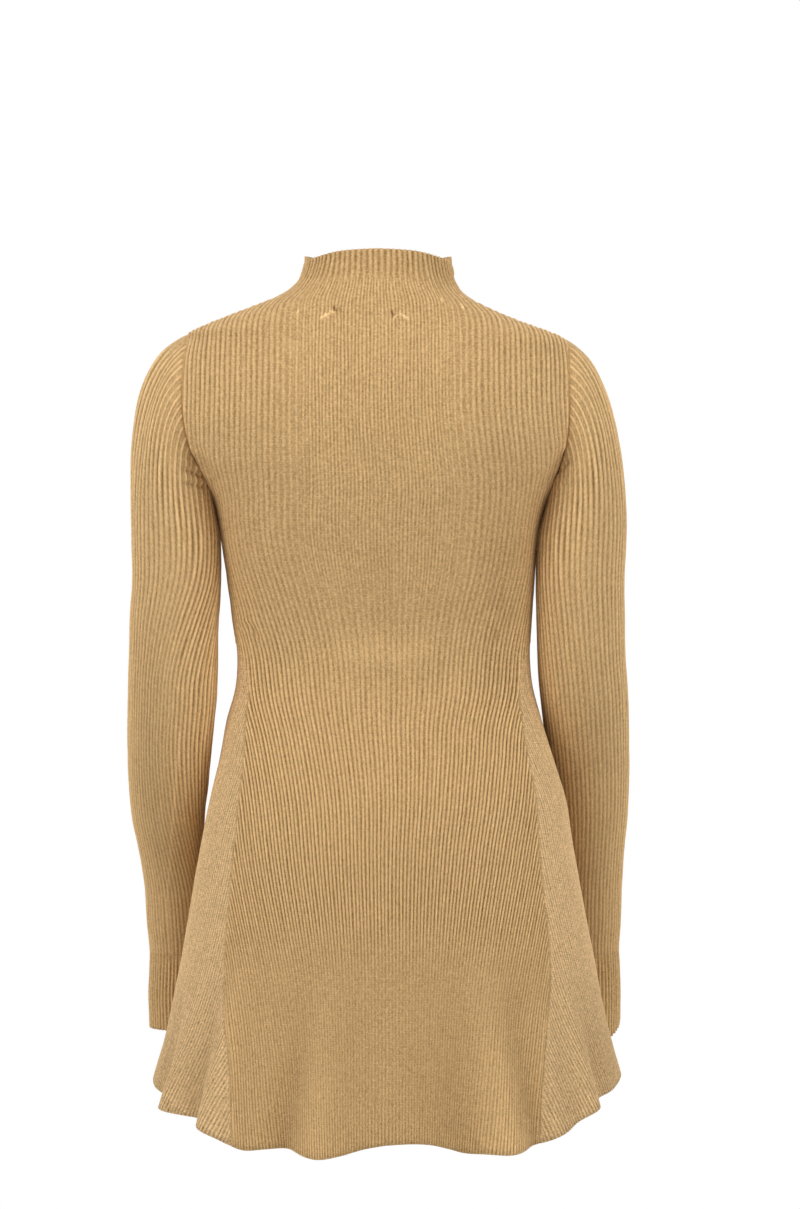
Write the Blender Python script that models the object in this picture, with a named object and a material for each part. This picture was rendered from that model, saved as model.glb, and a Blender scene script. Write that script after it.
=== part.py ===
"""Sweater dress, worn: rib-knit, funnel neck, long set-in sleeves, skirt flared by two side gores.

Every piece is one closed wall of knitting.  Ribs are raised on its outside, and its inside is plain.
The origin is midway between the shoulders, level with the base of the neck.  +Z is up, the back
faces +Y, and the wearer's left is +X.  All sizes here are millimetres until a mesh is written.

A place on the body is an angle round it and a level: 0 degrees is the centre back, 90 the left side,
180 the centre front.  A place on a sleeve is an angle round the arm: 0 outside, 90 at the back.
"""
import bmesh
import bpy
import numpy as np

MILLIMETRE = 0.001

# The cloth.
WALL = 1.8
RIB_RELIEF = 0.8
CUFF_RELIEF = 1.0
SEAM_GAP = 0.3           # between a sleeve and the body or its cuff
EDGE_TRIM = 0.23         # cut off each panel edge, so that inner corners keep SEAM_GAP between them too
SEAM_FLAT = 10.0         # a seam presses the ribs flat over this width

# Body sections, top to bottom.  Each is a squared ellipse with its sides on y = 0.
SQUARENESS = 2.25
BODY_COLUMNS = ("height", "half_width", "back", "front", "lean")
BODY_SECTIONS = np.array((
    (46.0,    66.8,  47.0,  70.0,  -0.9),
    (30.0,    69.6,  48.5,  71.0,   0.0),
    (16.0,    75.0,  53.0,  73.5,   1.0),
    (5.0,     89.0,  62.0,  78.0,   3.6),
    (-5.0,   112.5,  69.0,  82.0,   6.4),
    (-14.0,  133.5,  74.5,  86.0,   7.2),
    (-23.0,  152.5,  79.5,  90.0,   5.0),
    (-32.0,  168.0,  83.5,  94.0,   1.6),
    (-52.0,  180.5,  90.0, 101.0,   0.6),
    (-83.0,  190.5,  96.0, 109.0,   0.8),
    (-105.0, 191.5,  97.5, 113.5,   0.5),
    (-124.0, 187.0,  97.5, 117.0,  -0.5),
    (-142.0, 177.5,  96.5, 119.5,  -1.5),
    (-160.0, 162.0,  94.5, 121.0,  -2.8),
    (-175.0, 151.5,  92.0, 121.0,  -3.1),
    (-195.0, 145.0,  88.0, 119.0,  -2.2),
    (-218.0, 140.8,  82.5, 114.0,  -2.4),
    (-250.0, 137.6,  74.0, 104.0,  -3.6),
    (-285.0, 133.6,  66.5,  95.0,  -4.6),
    (-321.0, 131.0,  62.5,  89.5,  -6.0),
    (-345.0, 133.0,  64.5,  89.5,  -6.4),
    (-375.0, 141.0,  73.0,  93.0,  -6.5),
    (-410.0, 149.5,  87.0,  99.0,  -8.6),
    (-446.0, 159.3,  99.0, 105.0,  -9.8),
    (-485.0, 166.3, 106.5, 110.0,  -9.0),
    (-518.0, 172.2, 111.0, 115.0,  -8.9),
    (-550.0, 177.8, 117.0, 121.5,  -9.2),
    (-590.0, 185.2, 126.0, 131.0,  -9.7),
    (-625.0, 192.0, 135.5, 141.0,  -9.5),
    (-655.0, 198.6, 144.5, 149.5,  -9.8),
    (-700.0, 211.4, 158.5, 162.0,  -9.6),
    (-745.0, 223.5, 170.0, 173.0,  -9.6),
))

# Levels with a meaning, top to bottom.  Between NECK_BASE and the collar's edge, and between
# HEM_START and the hem, levels are stretched so that the last one lies on the uneven edge.
COLLAR_TOP = 44.0
NECK_BASE = 5.0
YOKE = -83.0
GORE_TOP = -300.0
HEM_START = -600.0
HEM = -740.0

# An armhole seen from the side is an ellipse.
ARMHOLE_TOP = -32.0
ARMHOLE_HEIGHT = 143.0
ARMHOLE_HALF_DEPTH = 50.0
ARMHOLE_STEPS = 9        # spaces between rows of the body beside each armhole

NECK_LEVELS = (COLLAR_TOP, 29.0, 16.0, 7.0, -1.0, -8.0, -16.0, -24.0)
WAIST_LEVELS = (-205.0, -238.0, -270.0)
GORE_LEVELS = (GORE_TOP, -310.0, -326.0, -352.0, -392.0, -444.0, -504.0, -562.0, -612.0, -658.0,
               -701.0, HEM)

# The edge of the collar and of the hem, by angle.  The back of the collar dips at its side seams.
COLLAR_COLUMNS = ("angle", "back_top", "front_top")
COLLAR_EDGE = np.array((
    (0.0,    44.3, 44.3),
    (30.0,   42.5, 44.0),
    (60.0,   38.0, 43.5),
    (90.0,   35.0, 42.5),
    (135.0,  35.0, 39.0),
    (180.0,  35.0, 37.0),
))
HEM_COLUMNS = ("angle", "left", "right")
HEM_EDGE = np.array((
    (0.0,   -732.0, -732.0),
    (4.0,   -735.5, -731.0),
    (8.0,   -740.5, -732.0),
    (12.0,  -743.0, -736.0),
    (15.0,  -741.5, -739.5),
    (20.0,  -737.0, -740.5),
    (26.0,  -738.0, -740.5),
    (32.0,  -739.0, -736.5),
    (36.0,  -735.0, -734.0),
    (41.0,  -724.0, -729.0),
    (47.0,  -715.0, -721.0),
    (54.0,  -713.5, -713.0),
    (63.0,  -712.0, -703.0),
    (72.0,  -703.0, -697.0),
    (90.0,  -695.0, -692.0),
    (110.0, -704.0, -703.0),
    (130.0, -719.0, -721.0),
    (155.0, -730.0, -728.0),
    (180.0, -727.0, -727.0),
))

# The seam between a gore and the back, by level, mirrored on the front.
GORE_COLUMNS = ("height", "angle")
GORE_SEAM = np.array((
    (GORE_TOP, 89.2),
    (-310.0,   80.0),
    (-326.0,   69.0),
    (-350.0,   62.5),
    (-382.0,   58.3),
    (-422.0,   55.2),
    (-470.0,   52.5),
    (-522.0,   50.6),
    (-574.0,   49.2),
    (-620.0,   45.6),
    (-664.0,   40.5),
    (-704.0,   36.8),
    (-745.0,   34.5),
))

# Skirt folds: soft ridges that open out towards the hem, uneven round it.
# Each row is its angle, half its width as an angle, its depth at the hem and the height of its top.
FOLDS = (
    (63.0,   7.0,  9.0, -600.0),
    (42.0,   6.5, 11.0, -560.0),
    (14.0,   6.5,  8.0, -610.0),
    (-19.0,  8.5,  7.0, -590.0),
    (-39.0,  5.0,  4.0, -640.0),
    (-55.0,  6.5,  9.0, -580.0),
    (-118.0, 9.0,  9.0, -590.0),
    (-152.0, 8.0,  6.5, -620.0),
    (167.0,  9.0,  7.5, -575.0),
    (138.0,  8.0,  8.5, -610.0),
    (108.0,  7.0,  6.0, -640.0),
)

FOLD_GROWTH = 1.5

# Ribs of the body: the distance from one to the next, by level.  Two columns of points make a rib.
PITCH_COLUMNS = ("height", "pitch")
RIB_PITCH = np.array((
    (YOKE,   12.0),
    (-240.0, 11.2),
    (-330.0, 10.2),
    (-450.0,  9.6),
    (-600.0,  9.2),
    (-745.0,  9.0),
))
GORE_PITCH = 9.6
INSIDE_STEP = 4          # the plain inside has one column of points for this many outside
EDGE_SPACE = 0.4         # columns nearer a side edge than this share of a space are left out

# Sleeves and cuffs below the armhole: level ellipses, each arm hanging in its own place.
ARM_COLUMNS = ("height", "left_x", "left_y", "right_x", "right_y", "half_width", "half_depth")
ARM_SECTIONS = np.array((
    (-215.0, 182.8,    5.0, 185.8,    5.0, 39.6, 45.0),
    (-250.0, 181.2,    6.0, 184.0,    6.0, 39.2, 43.5),
    (-285.0, 182.2,    7.0, 183.0,    5.0, 38.8, 42.0),
    (-321.0, 183.0,    7.0, 184.0,    1.0, 38.8, 41.5),
    (-357.0, 184.2,    4.0, 187.0,   -9.0, 38.8, 41.0),
    (-393.0, 186.6,   -3.0, 190.4,  -28.0, 37.2, 39.5),
    (-430.0, 188.6,  -16.0, 194.0,  -50.0, 35.2, 37.5),
    (-467.0, 189.6,  -32.0, 196.2,  -60.0, 32.0, 34.5),
    (-495.0, 187.6,  -47.0, 196.6,  -67.0, 29.4, 32.0),
    (-530.0, 184.8,  -64.0, 196.4,  -77.0, 28.0, 30.5),
    (-565.0, 184.6,  -79.0, 196.8,  -88.0, 27.2, 29.5),
    (-592.0, 184.2,  -90.0, 197.2,  -98.0, 25.8, 28.0),
    (-604.0, 184.6,  -94.0, 198.0, -102.0, 25.8, 28.0),
    (-632.0, 186.0, -105.0, 199.0, -112.0, 26.2, 28.2),
    (-664.0, 185.6, -116.0, 199.2, -123.0, 26.4, 28.4),
))
CAP_END = -215.0
CAP_ROWS = 7
SLEEVE_LEVELS = (CAP_END, -255.0, -300.0, -345.0, -385.0, -425.0, -465.0, -505.0, -550.0, -592.0)
CUFF_LEVELS = (SLEEVE_LEVELS[-1] - SEAM_GAP, -604.0, -632.0, -664.0)
SLEEVE_RIBS = 18
CUFF_RIBS = 14
ARM_INSIDE_STEP = 2
CAP_PULL = 0.8           # how far a sleeve's ribs run straight out of the seam, as a share of the cap
CAP_CROWDING = 1.25      # above 1, rows crowd towards the seam
CAP_FULLNESS = 0.15      # how much the cap swells to the back and the front
UNDERARM_INWARD = 0.05   # how much the underarm leaves the seam towards the body
CAP_START = 1.2          # how many seam gaps a cap starts out along its ribs
UNDERARM_LIFT_POWER = 3  # how quickly the lift off the body fades above the underarm
FLAT_CAP_ROWS = 2        # the ribs rise to their full height over this many rows

# How finely curves are measured: steps along a section, and the nudges that give a slope.
FINE_STEPS = 721
ANGLE_NUDGE = 0.02
LEVEL_NUDGE = 1.5
ALONG_NUDGE = 0.01

CAMEL = (0.552, 0.366, 0.156)
CAMEL_SHADE = (0.520, 0.342, 0.144)
YARN_ROUGHNESS = 0.85


def smooth(table, columns, name, at):
    """Read one column of a table at any place, by cubic pieces that share their slopes."""
    places = table[:, 0]
    values = table[:, columns.index(name)]
    if places[0] > places[-1]:
        places, values = places[::-1], values[::-1]
    slopes = np.gradient(values, places)
    at = np.clip(at, places[0], places[-1])
    piece = np.clip(np.searchsorted(places, at) - 1, 0, len(places) - 2)
    span = places[piece + 1] - places[piece]
    t = (at - places[piece]) / span
    rise = values[piece + 1] - values[piece]
    start, end = slopes[piece] * span, slopes[piece + 1] * span
    return values[piece] + t * (start + t * (3 * rise - 2 * start - end + t * (start + end - 2 * rise)))


def body_section(name, height):
    return smooth(BODY_SECTIONS, BODY_COLUMNS, name, height)


def edge_height(angle, level):
    """The real height of a level: the outermost levels follow the collar's edge and the hem."""
    turn = np.degrees(angle) % 360.0
    from_back = np.minimum(turn, 360.0 - turn)
    front = from_back > 90.0
    collar = np.where(front, smooth(COLLAR_EDGE, COLLAR_COLUMNS, "front_top", from_back),
                      smooth(COLLAR_EDGE, COLLAR_COLUMNS, "back_top", from_back))
    hem = np.where(turn <= 180.0, smooth(HEM_EDGE, HEM_COLUMNS, "left", from_back),
                   smooth(HEM_EDGE, HEM_COLUMNS, "right", from_back))
    up = np.clip((level - NECK_BASE) / (COLLAR_TOP - NECK_BASE), 0.0, None)
    down = np.clip((HEM_START - level) / (HEM_START - HEM), 0.0, None)
    return level + up * (collar - COLLAR_TOP) + down * (hem - HEM)


def fold_swell(angle, height):
    """How far the folds stand out of the plain skirt."""
    swell = np.zeros(np.broadcast(angle, height).shape)
    for place, half_angle, depth, top in FOLDS:
        away = (np.degrees(angle) - place + 180.0) % 360.0 - 180.0
        drop = np.clip((top - height) / (top - HEM), 0.0, None)
        swell += depth * drop ** FOLD_GROWTH * np.exp(-(away / half_angle) ** 2)
    return swell


def plain_section(angle, height):
    """A body section without its lean and folds: x = w sin^p, y = d cos^p, with p = 2 / squareness
    and the sign of each sine or cosine kept.  d is the back's or the front's depth."""
    power = 2.0 / SQUARENESS
    across, along = np.sin(angle), np.cos(angle)
    depth = np.where(along > 0.0, body_section("back", height), body_section("front", height))
    x = body_section("half_width", height) * np.sign(across) * np.abs(across) ** power
    y = depth * np.sign(along) * np.abs(along) ** power
    return x, y


def body_point(angle, level):
    """The outside of the body under its ribs."""
    height = edge_height(angle, level)
    x, y = plain_section(angle, height)
    swell = fold_swell(angle, height)
    x = x + body_section("lean", height) + swell * np.sin(angle)
    return np.stack((x, y + swell * np.cos(angle), height), -1)


def normal_of(point, angle, place, angle_step, place_step):
    """The outward direction of a surface, from its own slopes."""
    around = point(angle + angle_step, place) - point(angle - angle_step, place)
    along = point(angle, place + place_step) - point(angle, place - place_step)
    normal = np.cross(around, along)
    return normal / np.linalg.norm(normal, axis=-1, keepdims=True)


def body_normal(angle, level):
    level = np.clip(level, HEM + LEVEL_NUDGE, COLLAR_TOP - LEVEL_NUDGE)
    normal = normal_of(body_point, angle, level, ANGLE_NUDGE, LEVEL_NUDGE)
    outward = normal[..., 0] * np.sin(angle) + normal[..., 1] * np.cos(angle)
    return normal * np.sign(outward)[..., None]


def arc_from(centre, offsets, level):
    """The length of cloth from a centre line to each offset angle, on the plain section."""
    x, y = plain_section(centre + offsets, level)
    arc = np.concatenate(((0.0,), np.cumsum(np.hypot(np.diff(x), np.diff(y)))))
    return arc - np.interp(0.0, offsets, arc)


def panel_numbers(centre, offsets, level):
    """Rib numbers across the back or front.  A rib leaves the yoke straight up, and from there to
    the collar the ribs even out."""
    reach = np.linspace(-np.pi / 2, np.pi / 2, FINE_STEPS)
    below = min(level, YOKE)
    arc_numbers = arc_from(centre, reach, below) / (smooth(RIB_PITCH, PITCH_COLUMNS, "pitch", below) / 2.0)
    if level <= YOKE:
        return np.interp(offsets, reach, arc_numbers)
    narrowing = body_section("half_width", min(level, NECK_BASE)) / body_section("half_width", YOKE)
    sine = np.abs(np.sin(reach)) * narrowing ** (SQUARENESS / 2.0)
    straight = np.interp(np.sign(reach) * np.arcsin(np.clip(sine, 0.0, 1.0)), reach, arc_numbers)
    arc = arc_from(centre, reach, level)
    even = arc * straight[-1] / arc[-1]
    share = np.clip((level - YOKE) / (NECK_BASE - YOKE), 0.0, 1.0)
    return np.interp(offsets, reach, straight + share * (even - straight))


def gore_numbers(centre, offsets, level):
    """Rib numbers across a gore: even steps from the line down its middle."""
    return arc_from(centre, offsets, level) / (GORE_PITCH / 2.0)


def armhole_offset(front, level):
    """The angle of the armhole seam from the centre of the back or front."""
    middle = ARMHOLE_TOP - ARMHOLE_HEIGHT / 2.0
    rise = np.clip((level - middle) / (ARMHOLE_HEIGHT / 2.0), -1.0, 1.0)
    away = ARMHOLE_HALF_DEPTH * np.sqrt(1.0 - rise ** 2)
    depth = body_section("front" if front else "back", level)
    return np.arccos((away / depth) ** (SQUARENESS / 2.0))


def panel_reach(front, level):
    """How far round the back or front reaches from its centre, in radians."""
    if level >= ARMHOLE_TOP or ARMHOLE_TOP - ARMHOLE_HEIGHT >= level > GORE_TOP:
        return np.pi / 2
    if level > GORE_TOP:
        return float(armhole_offset(front, level))
    return float(np.radians(smooth(GORE_SEAM, GORE_COLUMNS, "angle", level)))


def armhole_levels():
    turns = np.linspace(0.0, np.pi, ARMHOLE_STEPS + 1)
    return tuple(ARMHOLE_TOP - ARMHOLE_HEIGHT / 2.0 * (1.0 - np.cos(turns)))


def lace(lower, upper):
    """Triangles between two rows of (number, vertex), each in rising order of number."""
    faces = []
    i = j = 0
    while i < len(lower) - 1 or j < len(upper) - 1:
        lower_next = lower[i + 1][0] if i < len(lower) - 1 else np.inf
        upper_next = upper[j + 1][0] if j < len(upper) - 1 else np.inf
        if lower_next <= upper_next:
            faces.append((lower[i][1], lower[i + 1][1], upper[j][1]))
            i += 1
        else:
            faces.append((lower[i][1], upper[j + 1][1], upper[j][1]))
            j += 1
    return faces


def make_object(name, points, faces, colour):
    mesh = bpy.data.meshes.new(name)
    mesh.from_pydata([tuple(point) for point in np.asarray(points) * MILLIMETRE], [], faces)
    shell = bmesh.new()
    shell.from_mesh(mesh)
    bmesh.ops.recalc_face_normals(shell, faces=shell.faces)
    if shell.calc_volume(signed=True) < 0.0:
        bmesh.ops.reverse_faces(shell, faces=shell.faces)
    shell.to_mesh(mesh)
    shell.free()
    mesh.materials.append(knit_material(name, colour))
    piece = bpy.data.objects.new(name, mesh)
    bpy.context.scene.collection.objects.link(piece)
    return piece


def knit_material(name, colour):
    material = bpy.data.materials.new(name)
    material.use_nodes = True
    surface = material.node_tree.nodes["Principled BSDF"]
    surface.inputs["Base Color"].default_value = (*colour, 1.0)
    surface.inputs["Roughness"].default_value = YARN_ROUGHNESS
    surface.inputs["Metallic"].default_value = 0.0
    return material


def panel_row(centre, reach, level, numbers):
    """One row of a flat-edged piece: its rib numbers and angles, from edge to edge."""
    short = reach - ANGLE_NUDGE
    last_step = body_point(centre + reach, level) - body_point(centre + short, level)
    reach -= EDGE_TRIM * ANGLE_NUDGE / np.linalg.norm(last_step)
    offsets = np.linspace(-reach, reach, FINE_STEPS)
    places = numbers(centre, offsets, level)
    inner = np.arange(np.ceil(places[0] + EDGE_SPACE), np.floor(places[-1] - EDGE_SPACE) + 1)
    row = np.concatenate((places[:1], inner, places[-1:]))
    return row, centre + np.interp(row, places, offsets)


def rib_heights(row, points, level):
    """Even numbers are crests and odd ones valleys, and a seam flattens the ribs beside it.  Above
    the gores the back and the front meet on y = 0."""
    crest = np.where((row == np.round(row)) & (np.round(row) % 2 == 0), RIB_RELIEF, 0.0)
    to_edge = np.minimum(np.linalg.norm(points - points[0], axis=1),
                         np.linalg.norm(points - points[-1], axis=1))
    if level > GORE_TOP:
        to_edge = np.minimum(to_edge, np.abs(points[:, 1]))
    return crest * np.clip(to_edge / SEAM_FLAT, 0.0, 1.0)


def wall_faces(outer_rows, inner_rows):
    """A closed wall from its outer and inner rows, top to bottom."""
    faces = []
    for upper, lower in zip(outer_rows, outer_rows[1:]):
        faces += lace(lower, upper)
    for upper, lower in zip(inner_rows, inner_rows[1:]):
        faces += [face[::-1] for face in lace(lower, upper)]
    faces += lace(outer_rows[0], inner_rows[0])
    faces += [face[::-1] for face in lace(outer_rows[-1], inner_rows[-1])]
    return faces


def make_panel(name, centre, rows, numbers, colour):
    """A piece with two side edges.  rows lists (level, reach), top to bottom."""
    points, outer_rows, inner_rows = [], [], []
    for level, reach in rows:
        row, angles = panel_row(centre, reach, level, numbers)
        base = body_point(angles, level)
        normals = body_normal(angles, level)
        outside = base + normals * rib_heights(row, base, level)[:, None]
        inside = base - normals * WALL
        outer_rows.append([(number, len(points) + i) for i, number in enumerate(row)])
        points.extend(outside)
        kept = (row % INSIDE_STEP == 0) | (row != np.round(row))
        kept[[0, -1]] = True
        inner_rows.append([(number, len(points) + i) for i, number in enumerate(row[kept])])
        points.extend(inside[kept])
    faces = wall_faces(outer_rows, inner_rows)
    for side in (0, -1):
        for k in range(len(rows) - 1):
            a, b = outer_rows[k][side][1], outer_rows[k + 1][side][1]
            c, d = inner_rows[k + 1][side][1], inner_rows[k][side][1]
            edge = [(a, b, c), (a, c, d)]
            faces += edge if side == -1 else [face[::-1] for face in edge]
    return make_object(name, points, faces, colour)


def make_body_panels():
    levels = NECK_LEVELS + armhole_levels() + WAIST_LEVELS + GORE_LEVELS
    for name, centre, front in (("back", 0.0, False), ("front", np.pi, True)):
        rows = [(level, panel_reach(front, level)) for level in levels]
        make_panel(name, centre, rows, panel_numbers, CAMEL)


def make_gores():
    for name, centre in (("gore_left", np.pi / 2), ("gore_right", -np.pi / 2)):
        rows = [(level, np.pi / 2 - panel_reach(False, level)) for level in GORE_LEVELS]
        make_panel(name, centre, rows, gore_numbers, CAMEL_SHADE)


def arm_point(side, around, height):
    """The outside of a sleeve or cuff under its ribs, below the armhole."""
    name = "left" if side > 0 else "right"
    x = smooth(ARM_SECTIONS, ARM_COLUMNS, name + "_x", height)
    y = smooth(ARM_SECTIONS, ARM_COLUMNS, name + "_y", height)
    half_width = smooth(ARM_SECTIONS, ARM_COLUMNS, "half_width", height)
    half_depth = smooth(ARM_SECTIONS, ARM_COLUMNS, "half_depth", height)
    return np.stack((side * (x + half_width * np.cos(around)), y + half_depth * np.sin(around),
                     height + 0.0 * around), -1)


def armhole_corners(side):
    """The corners of the armhole's edge on the body, once round from the shoulder by the back."""
    corners = []
    for front in (False, True):
        for level in armhole_levels():
            offset = panel_reach(front, level)
            angle = side * (np.pi - offset if front else offset)
            corners.append(np.append(body_point(angle, level), angle))
    back, front = corners[:ARMHOLE_STEPS + 1], corners[ARMHOLE_STEPS + 1:]
    return np.array(back + front[-2::-1]), np.array(armhole_levels())


def armhole_point(side, around):
    """A point on the armhole's edge and the body's outward direction there."""
    corners, levels = armhole_corners(side)
    turns = np.linspace(0.0, 2.0 * np.pi, len(corners))
    around = around % (2.0 * np.pi)
    point = np.stack([np.interp(around, turns, corners[:, k]) for k in range(3)], -1)
    angle = np.interp(around, turns, corners[:, 3])
    level = np.interp(around, turns, np.concatenate((levels, levels[-2::-1])))
    return point, body_normal(angle, level)


def cap_point(side, around, along):
    """The cap of a sleeve: each rib leaves the armhole seam and bends down into the arm."""
    around, along = np.broadcast_arrays(around, along)
    start, out_of_body = armhole_point(side, around)
    outerness = (1.0 + np.cos(around)) / 2.0
    heading = np.stack((side * ((1.0 + UNDERARM_INWARD) * outerness - UNDERARM_INWARD),
                        CAP_FULLNESS * np.sin(around), outerness - 1.0), -1)
    heading /= np.linalg.norm(heading, axis=-1, keepdims=True)
    lift = (1.0 - outerness[..., None]) ** UNDERARM_LIFT_POWER
    start = start + SEAM_GAP * (CAP_START * heading + lift * out_of_body)
    end = arm_point(side, around, CAP_END + 0.0 * around)
    downward = arm_point(side, around, CAP_END - LEVEL_NUDGE + 0.0 * around) - end
    downward /= np.linalg.norm(downward, axis=-1, keepdims=True)
    pull = CAP_PULL * np.linalg.norm(end - start, axis=-1, keepdims=True)
    t = along[..., None]
    return (start * (1 - t) ** 2 * (1 + 2 * t) + end * t ** 2 * (3 - 2 * t)
            + heading * pull * t * (1 - t) ** 2 - downward * pull * t ** 2 * (1 - t))


def tube_ring(point, side, around, place, step, relief, is_level):
    """One ring of a tube: its ribbed outside and its plain inside.  A level ring stays level."""
    places = place + 0.0 * around
    base = point(side, around, places)
    normals = normal_of(lambda turn, at: point(side, turn, at), around, places, np.pi / len(around), step)
    if is_level:
        normals[:, 2] = 0.0
        normals /= np.linalg.norm(normals, axis=1, keepdims=True)
    if np.sum(normals * (base - base.mean(axis=0))) < 0.0:
        normals = -normals
    crest = np.where(np.arange(len(around)) % 2 == 0, relief, 0.0)
    return base + normals * crest[:, None], base - normals * WALL


def make_tube(name, ribs, rings, colour):
    points, outer_rows, inner_rows = [], [], []
    for outside, inside in rings:
        count = 2 * ribs
        first = len(points)
        points.extend(outside)
        outer_rows.append([(k, first + k % count) for k in range(count + 1)])
        kept = inside[::ARM_INSIDE_STEP]
        first = len(points)
        points.extend(kept)
        inner_rows.append([(k * ARM_INSIDE_STEP, first + k % len(kept)) for k in range(len(kept) + 1)])
    return make_object(name, points, wall_faces(outer_rows, inner_rows), colour)


def make_arms():
    """Sleeves and cuffs, whose ribs are flat at each seam."""
    for name, side in (("left", 1.0), ("right", -1.0)):
        around = np.linspace(0.0, 2.0 * np.pi, 2 * SLEEVE_RIBS, endpoint=False)
        rings = []
        for k in range(CAP_ROWS):
            along = (k / CAP_ROWS) ** CAP_CROWDING
            relief = RIB_RELIEF * min(1.0, k / FLAT_CAP_ROWS)
            rings.append(tube_ring(cap_point, side, around, along, ALONG_NUDGE, relief, False))
        for height in SLEEVE_LEVELS:
            relief = RIB_RELIEF if height > SLEEVE_LEVELS[-1] else 0.0
            rings.append(tube_ring(arm_point, side, around, height, LEVEL_NUDGE, relief, True))
        make_tube("sleeve_" + name, SLEEVE_RIBS, rings, CAMEL)
        around = np.linspace(0.0, 2.0 * np.pi, 2 * CUFF_RIBS, endpoint=False)
        rings = []
        for height in CUFF_LEVELS:
            relief = CUFF_RELIEF if height < CUFF_LEVELS[0] else 0.0
            rings.append(tube_ring(arm_point, side, around, height, LEVEL_NUDGE, relief, True))
        make_tube("cuff_" + name, CUFF_RIBS, rings, CAMEL_SHADE)


for leftover in list(bpy.data.objects):
    bpy.data.objects.remove(leftover, do_unlink=True)
make_body_panels()
make_gores()
make_arms()
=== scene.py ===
"""Sweater dress, worn: rib-knit, funnel neck, long set-in sleeves, skirt flared by two side gores.

Each piece is a closed wall of knitting laid on its solid's form, with its ribs at their real number.
Sizes are millimetres until a mesh is written.  The origin is midway between the shoulders, level with
the base of the neck.  +Z is up, the back faces +Y, and the wearer's left is +X.

A place on the body is an angle round it and a level: 0 degrees is the centre back, 90 the left side,
180 the centre front.  A place on a sleeve is an angle round the arm: 0 outside, 90 at the back.
A pair of numbers for ease, ebb or within holds the values between which something changes; where
they are levels, they are given as depths below the origin.
"""
from typing import NamedTuple

import bpy
import numpy as np
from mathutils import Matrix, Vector


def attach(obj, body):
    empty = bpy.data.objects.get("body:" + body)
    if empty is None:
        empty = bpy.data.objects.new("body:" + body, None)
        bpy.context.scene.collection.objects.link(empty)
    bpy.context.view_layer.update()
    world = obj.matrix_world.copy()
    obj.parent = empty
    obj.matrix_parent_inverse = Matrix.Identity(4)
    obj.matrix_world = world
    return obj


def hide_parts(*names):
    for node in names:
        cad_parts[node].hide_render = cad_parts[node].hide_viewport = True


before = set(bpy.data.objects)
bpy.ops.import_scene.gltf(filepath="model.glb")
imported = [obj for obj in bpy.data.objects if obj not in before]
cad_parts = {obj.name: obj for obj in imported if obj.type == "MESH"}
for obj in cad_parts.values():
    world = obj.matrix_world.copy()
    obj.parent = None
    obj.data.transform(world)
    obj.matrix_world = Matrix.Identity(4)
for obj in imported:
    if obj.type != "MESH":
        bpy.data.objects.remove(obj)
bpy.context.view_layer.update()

MILLIMETRE = 0.001
QUARTER_TURN = np.pi / 2

# ---------------------------------------------------------------------------------------------
# Camera: level with the waist, behind the back.
CAMERA_X = -20.7
CAMERA_DISTANCE = 3200.0
CAMERA_HEIGHT = -271.35
VIEW_HEIGHT = 1088.1         # how much is in view, top to bottom, at the origin's distance
SENSOR = 36.0
CAMERA_SIGHT = 50.0          # in metres

# The studio, in metres.
LIGHTS = (
    # name, place, size, watts
    ("back_left_box",   (2.3, 1.9, 1.5),   1.5, 63.5),
    ("back_right_box",  (-2.3, 1.9, 1.5),  1.5, 54.0),
    ("front_left_box",  (1.7, -2.3, 1.2),  1.5, 38.0),
    ("front_right_box", (-1.7, -2.3, 1.2), 1.5, 36.0),
    ("overhead_box",    (0.0, 0.3, 2.2),   1.6, 8.0),
)
AIM = Vector((0.0, 0.0, -0.3))
WHITE = (1.0, 1.0, 1.0, 1.0)
SKY_LIGHT = 0.36
FLOOR_HEIGHT = -1.38
FLOOR_RADIUS = 2.6
FLOOR_SIDES = 96
FLOOR_GREY = (0.86, 0.86, 0.86)
FLOOR_SHADE = 0.98
FLOOR_UNEVEN = 0.04
FLOOR_NOISE = (3.0, 3.0, 0.5)    # scale, detail, roughness

# The cloth and its seams.
WALL = 1.8
ARMHOLE_DIP = 0.32           # how deep a seam lies under the cloth beside it
SIDE_DIP = 0.4
GORE_DIP = 0.16
CUFF_DIP = 0.08
SEAM_DIP_WIDTH = 1.2
SEAM_ROLL = 0.27             # the roll of cloth on each side of a seam, as a share of its dip
SEAM_ROLL_AWAY = 3.6
SEAM_ROLL_WIDTH = 2.0
SEAM_FADE = 2.0              # ribs have their full height this far from a seam
GORE_FADE = 1.6              # and this far from a gore's
RIB_START = 0.25             # they begin at this share of that
CHAIN_HEIGHT = 0.50          # a ridge of stitches runs along each side of a gore's seam
CHAIN_AWAY = 1.9
CHAIN_WIDTH = 0.8
BEAD_LIGHT = 0.34            # the ridge's stitches are painted paler, as highlights, one to every BEAD_SPACE
BEAD_SPACE = 4.4
ARMHOLE_BEADS = 1.5          # stitches beside an armhole have no ridge, but are painted paler still by this
GORE_BLEND = 8.0             # a side seam turns into a gore's over this much above and below its top
ARMHOLE_BLEND = 6.0          # and into an armhole's over this much past its ends
COURSE = 1.45                # height of one row of stitches
HEM_SCALLOP = 0.9            # ribs stand this far past the edge at the hem,
COLLAR_SCALLOP = 0.5         # the collar
CUFF_SCALLOP = 0.7           # and the cuffs
SCALLOP_REACH = 3.0

# How finely a piece is meshed.
RIB_COLUMNS = 6              # columns of points to a rib
INSIDE_COLUMNS = 6           # columns outside for each one on the plain inside
INSIDE_ROWS = 3
EDGE_SPACE = 0.4             # columns nearer a side edge than this share of a space are left out
FINE_STEPS = 721
RIM_SPACE = 0.15             # a row this near an end keeps the rim's shading off the cloth
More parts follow.
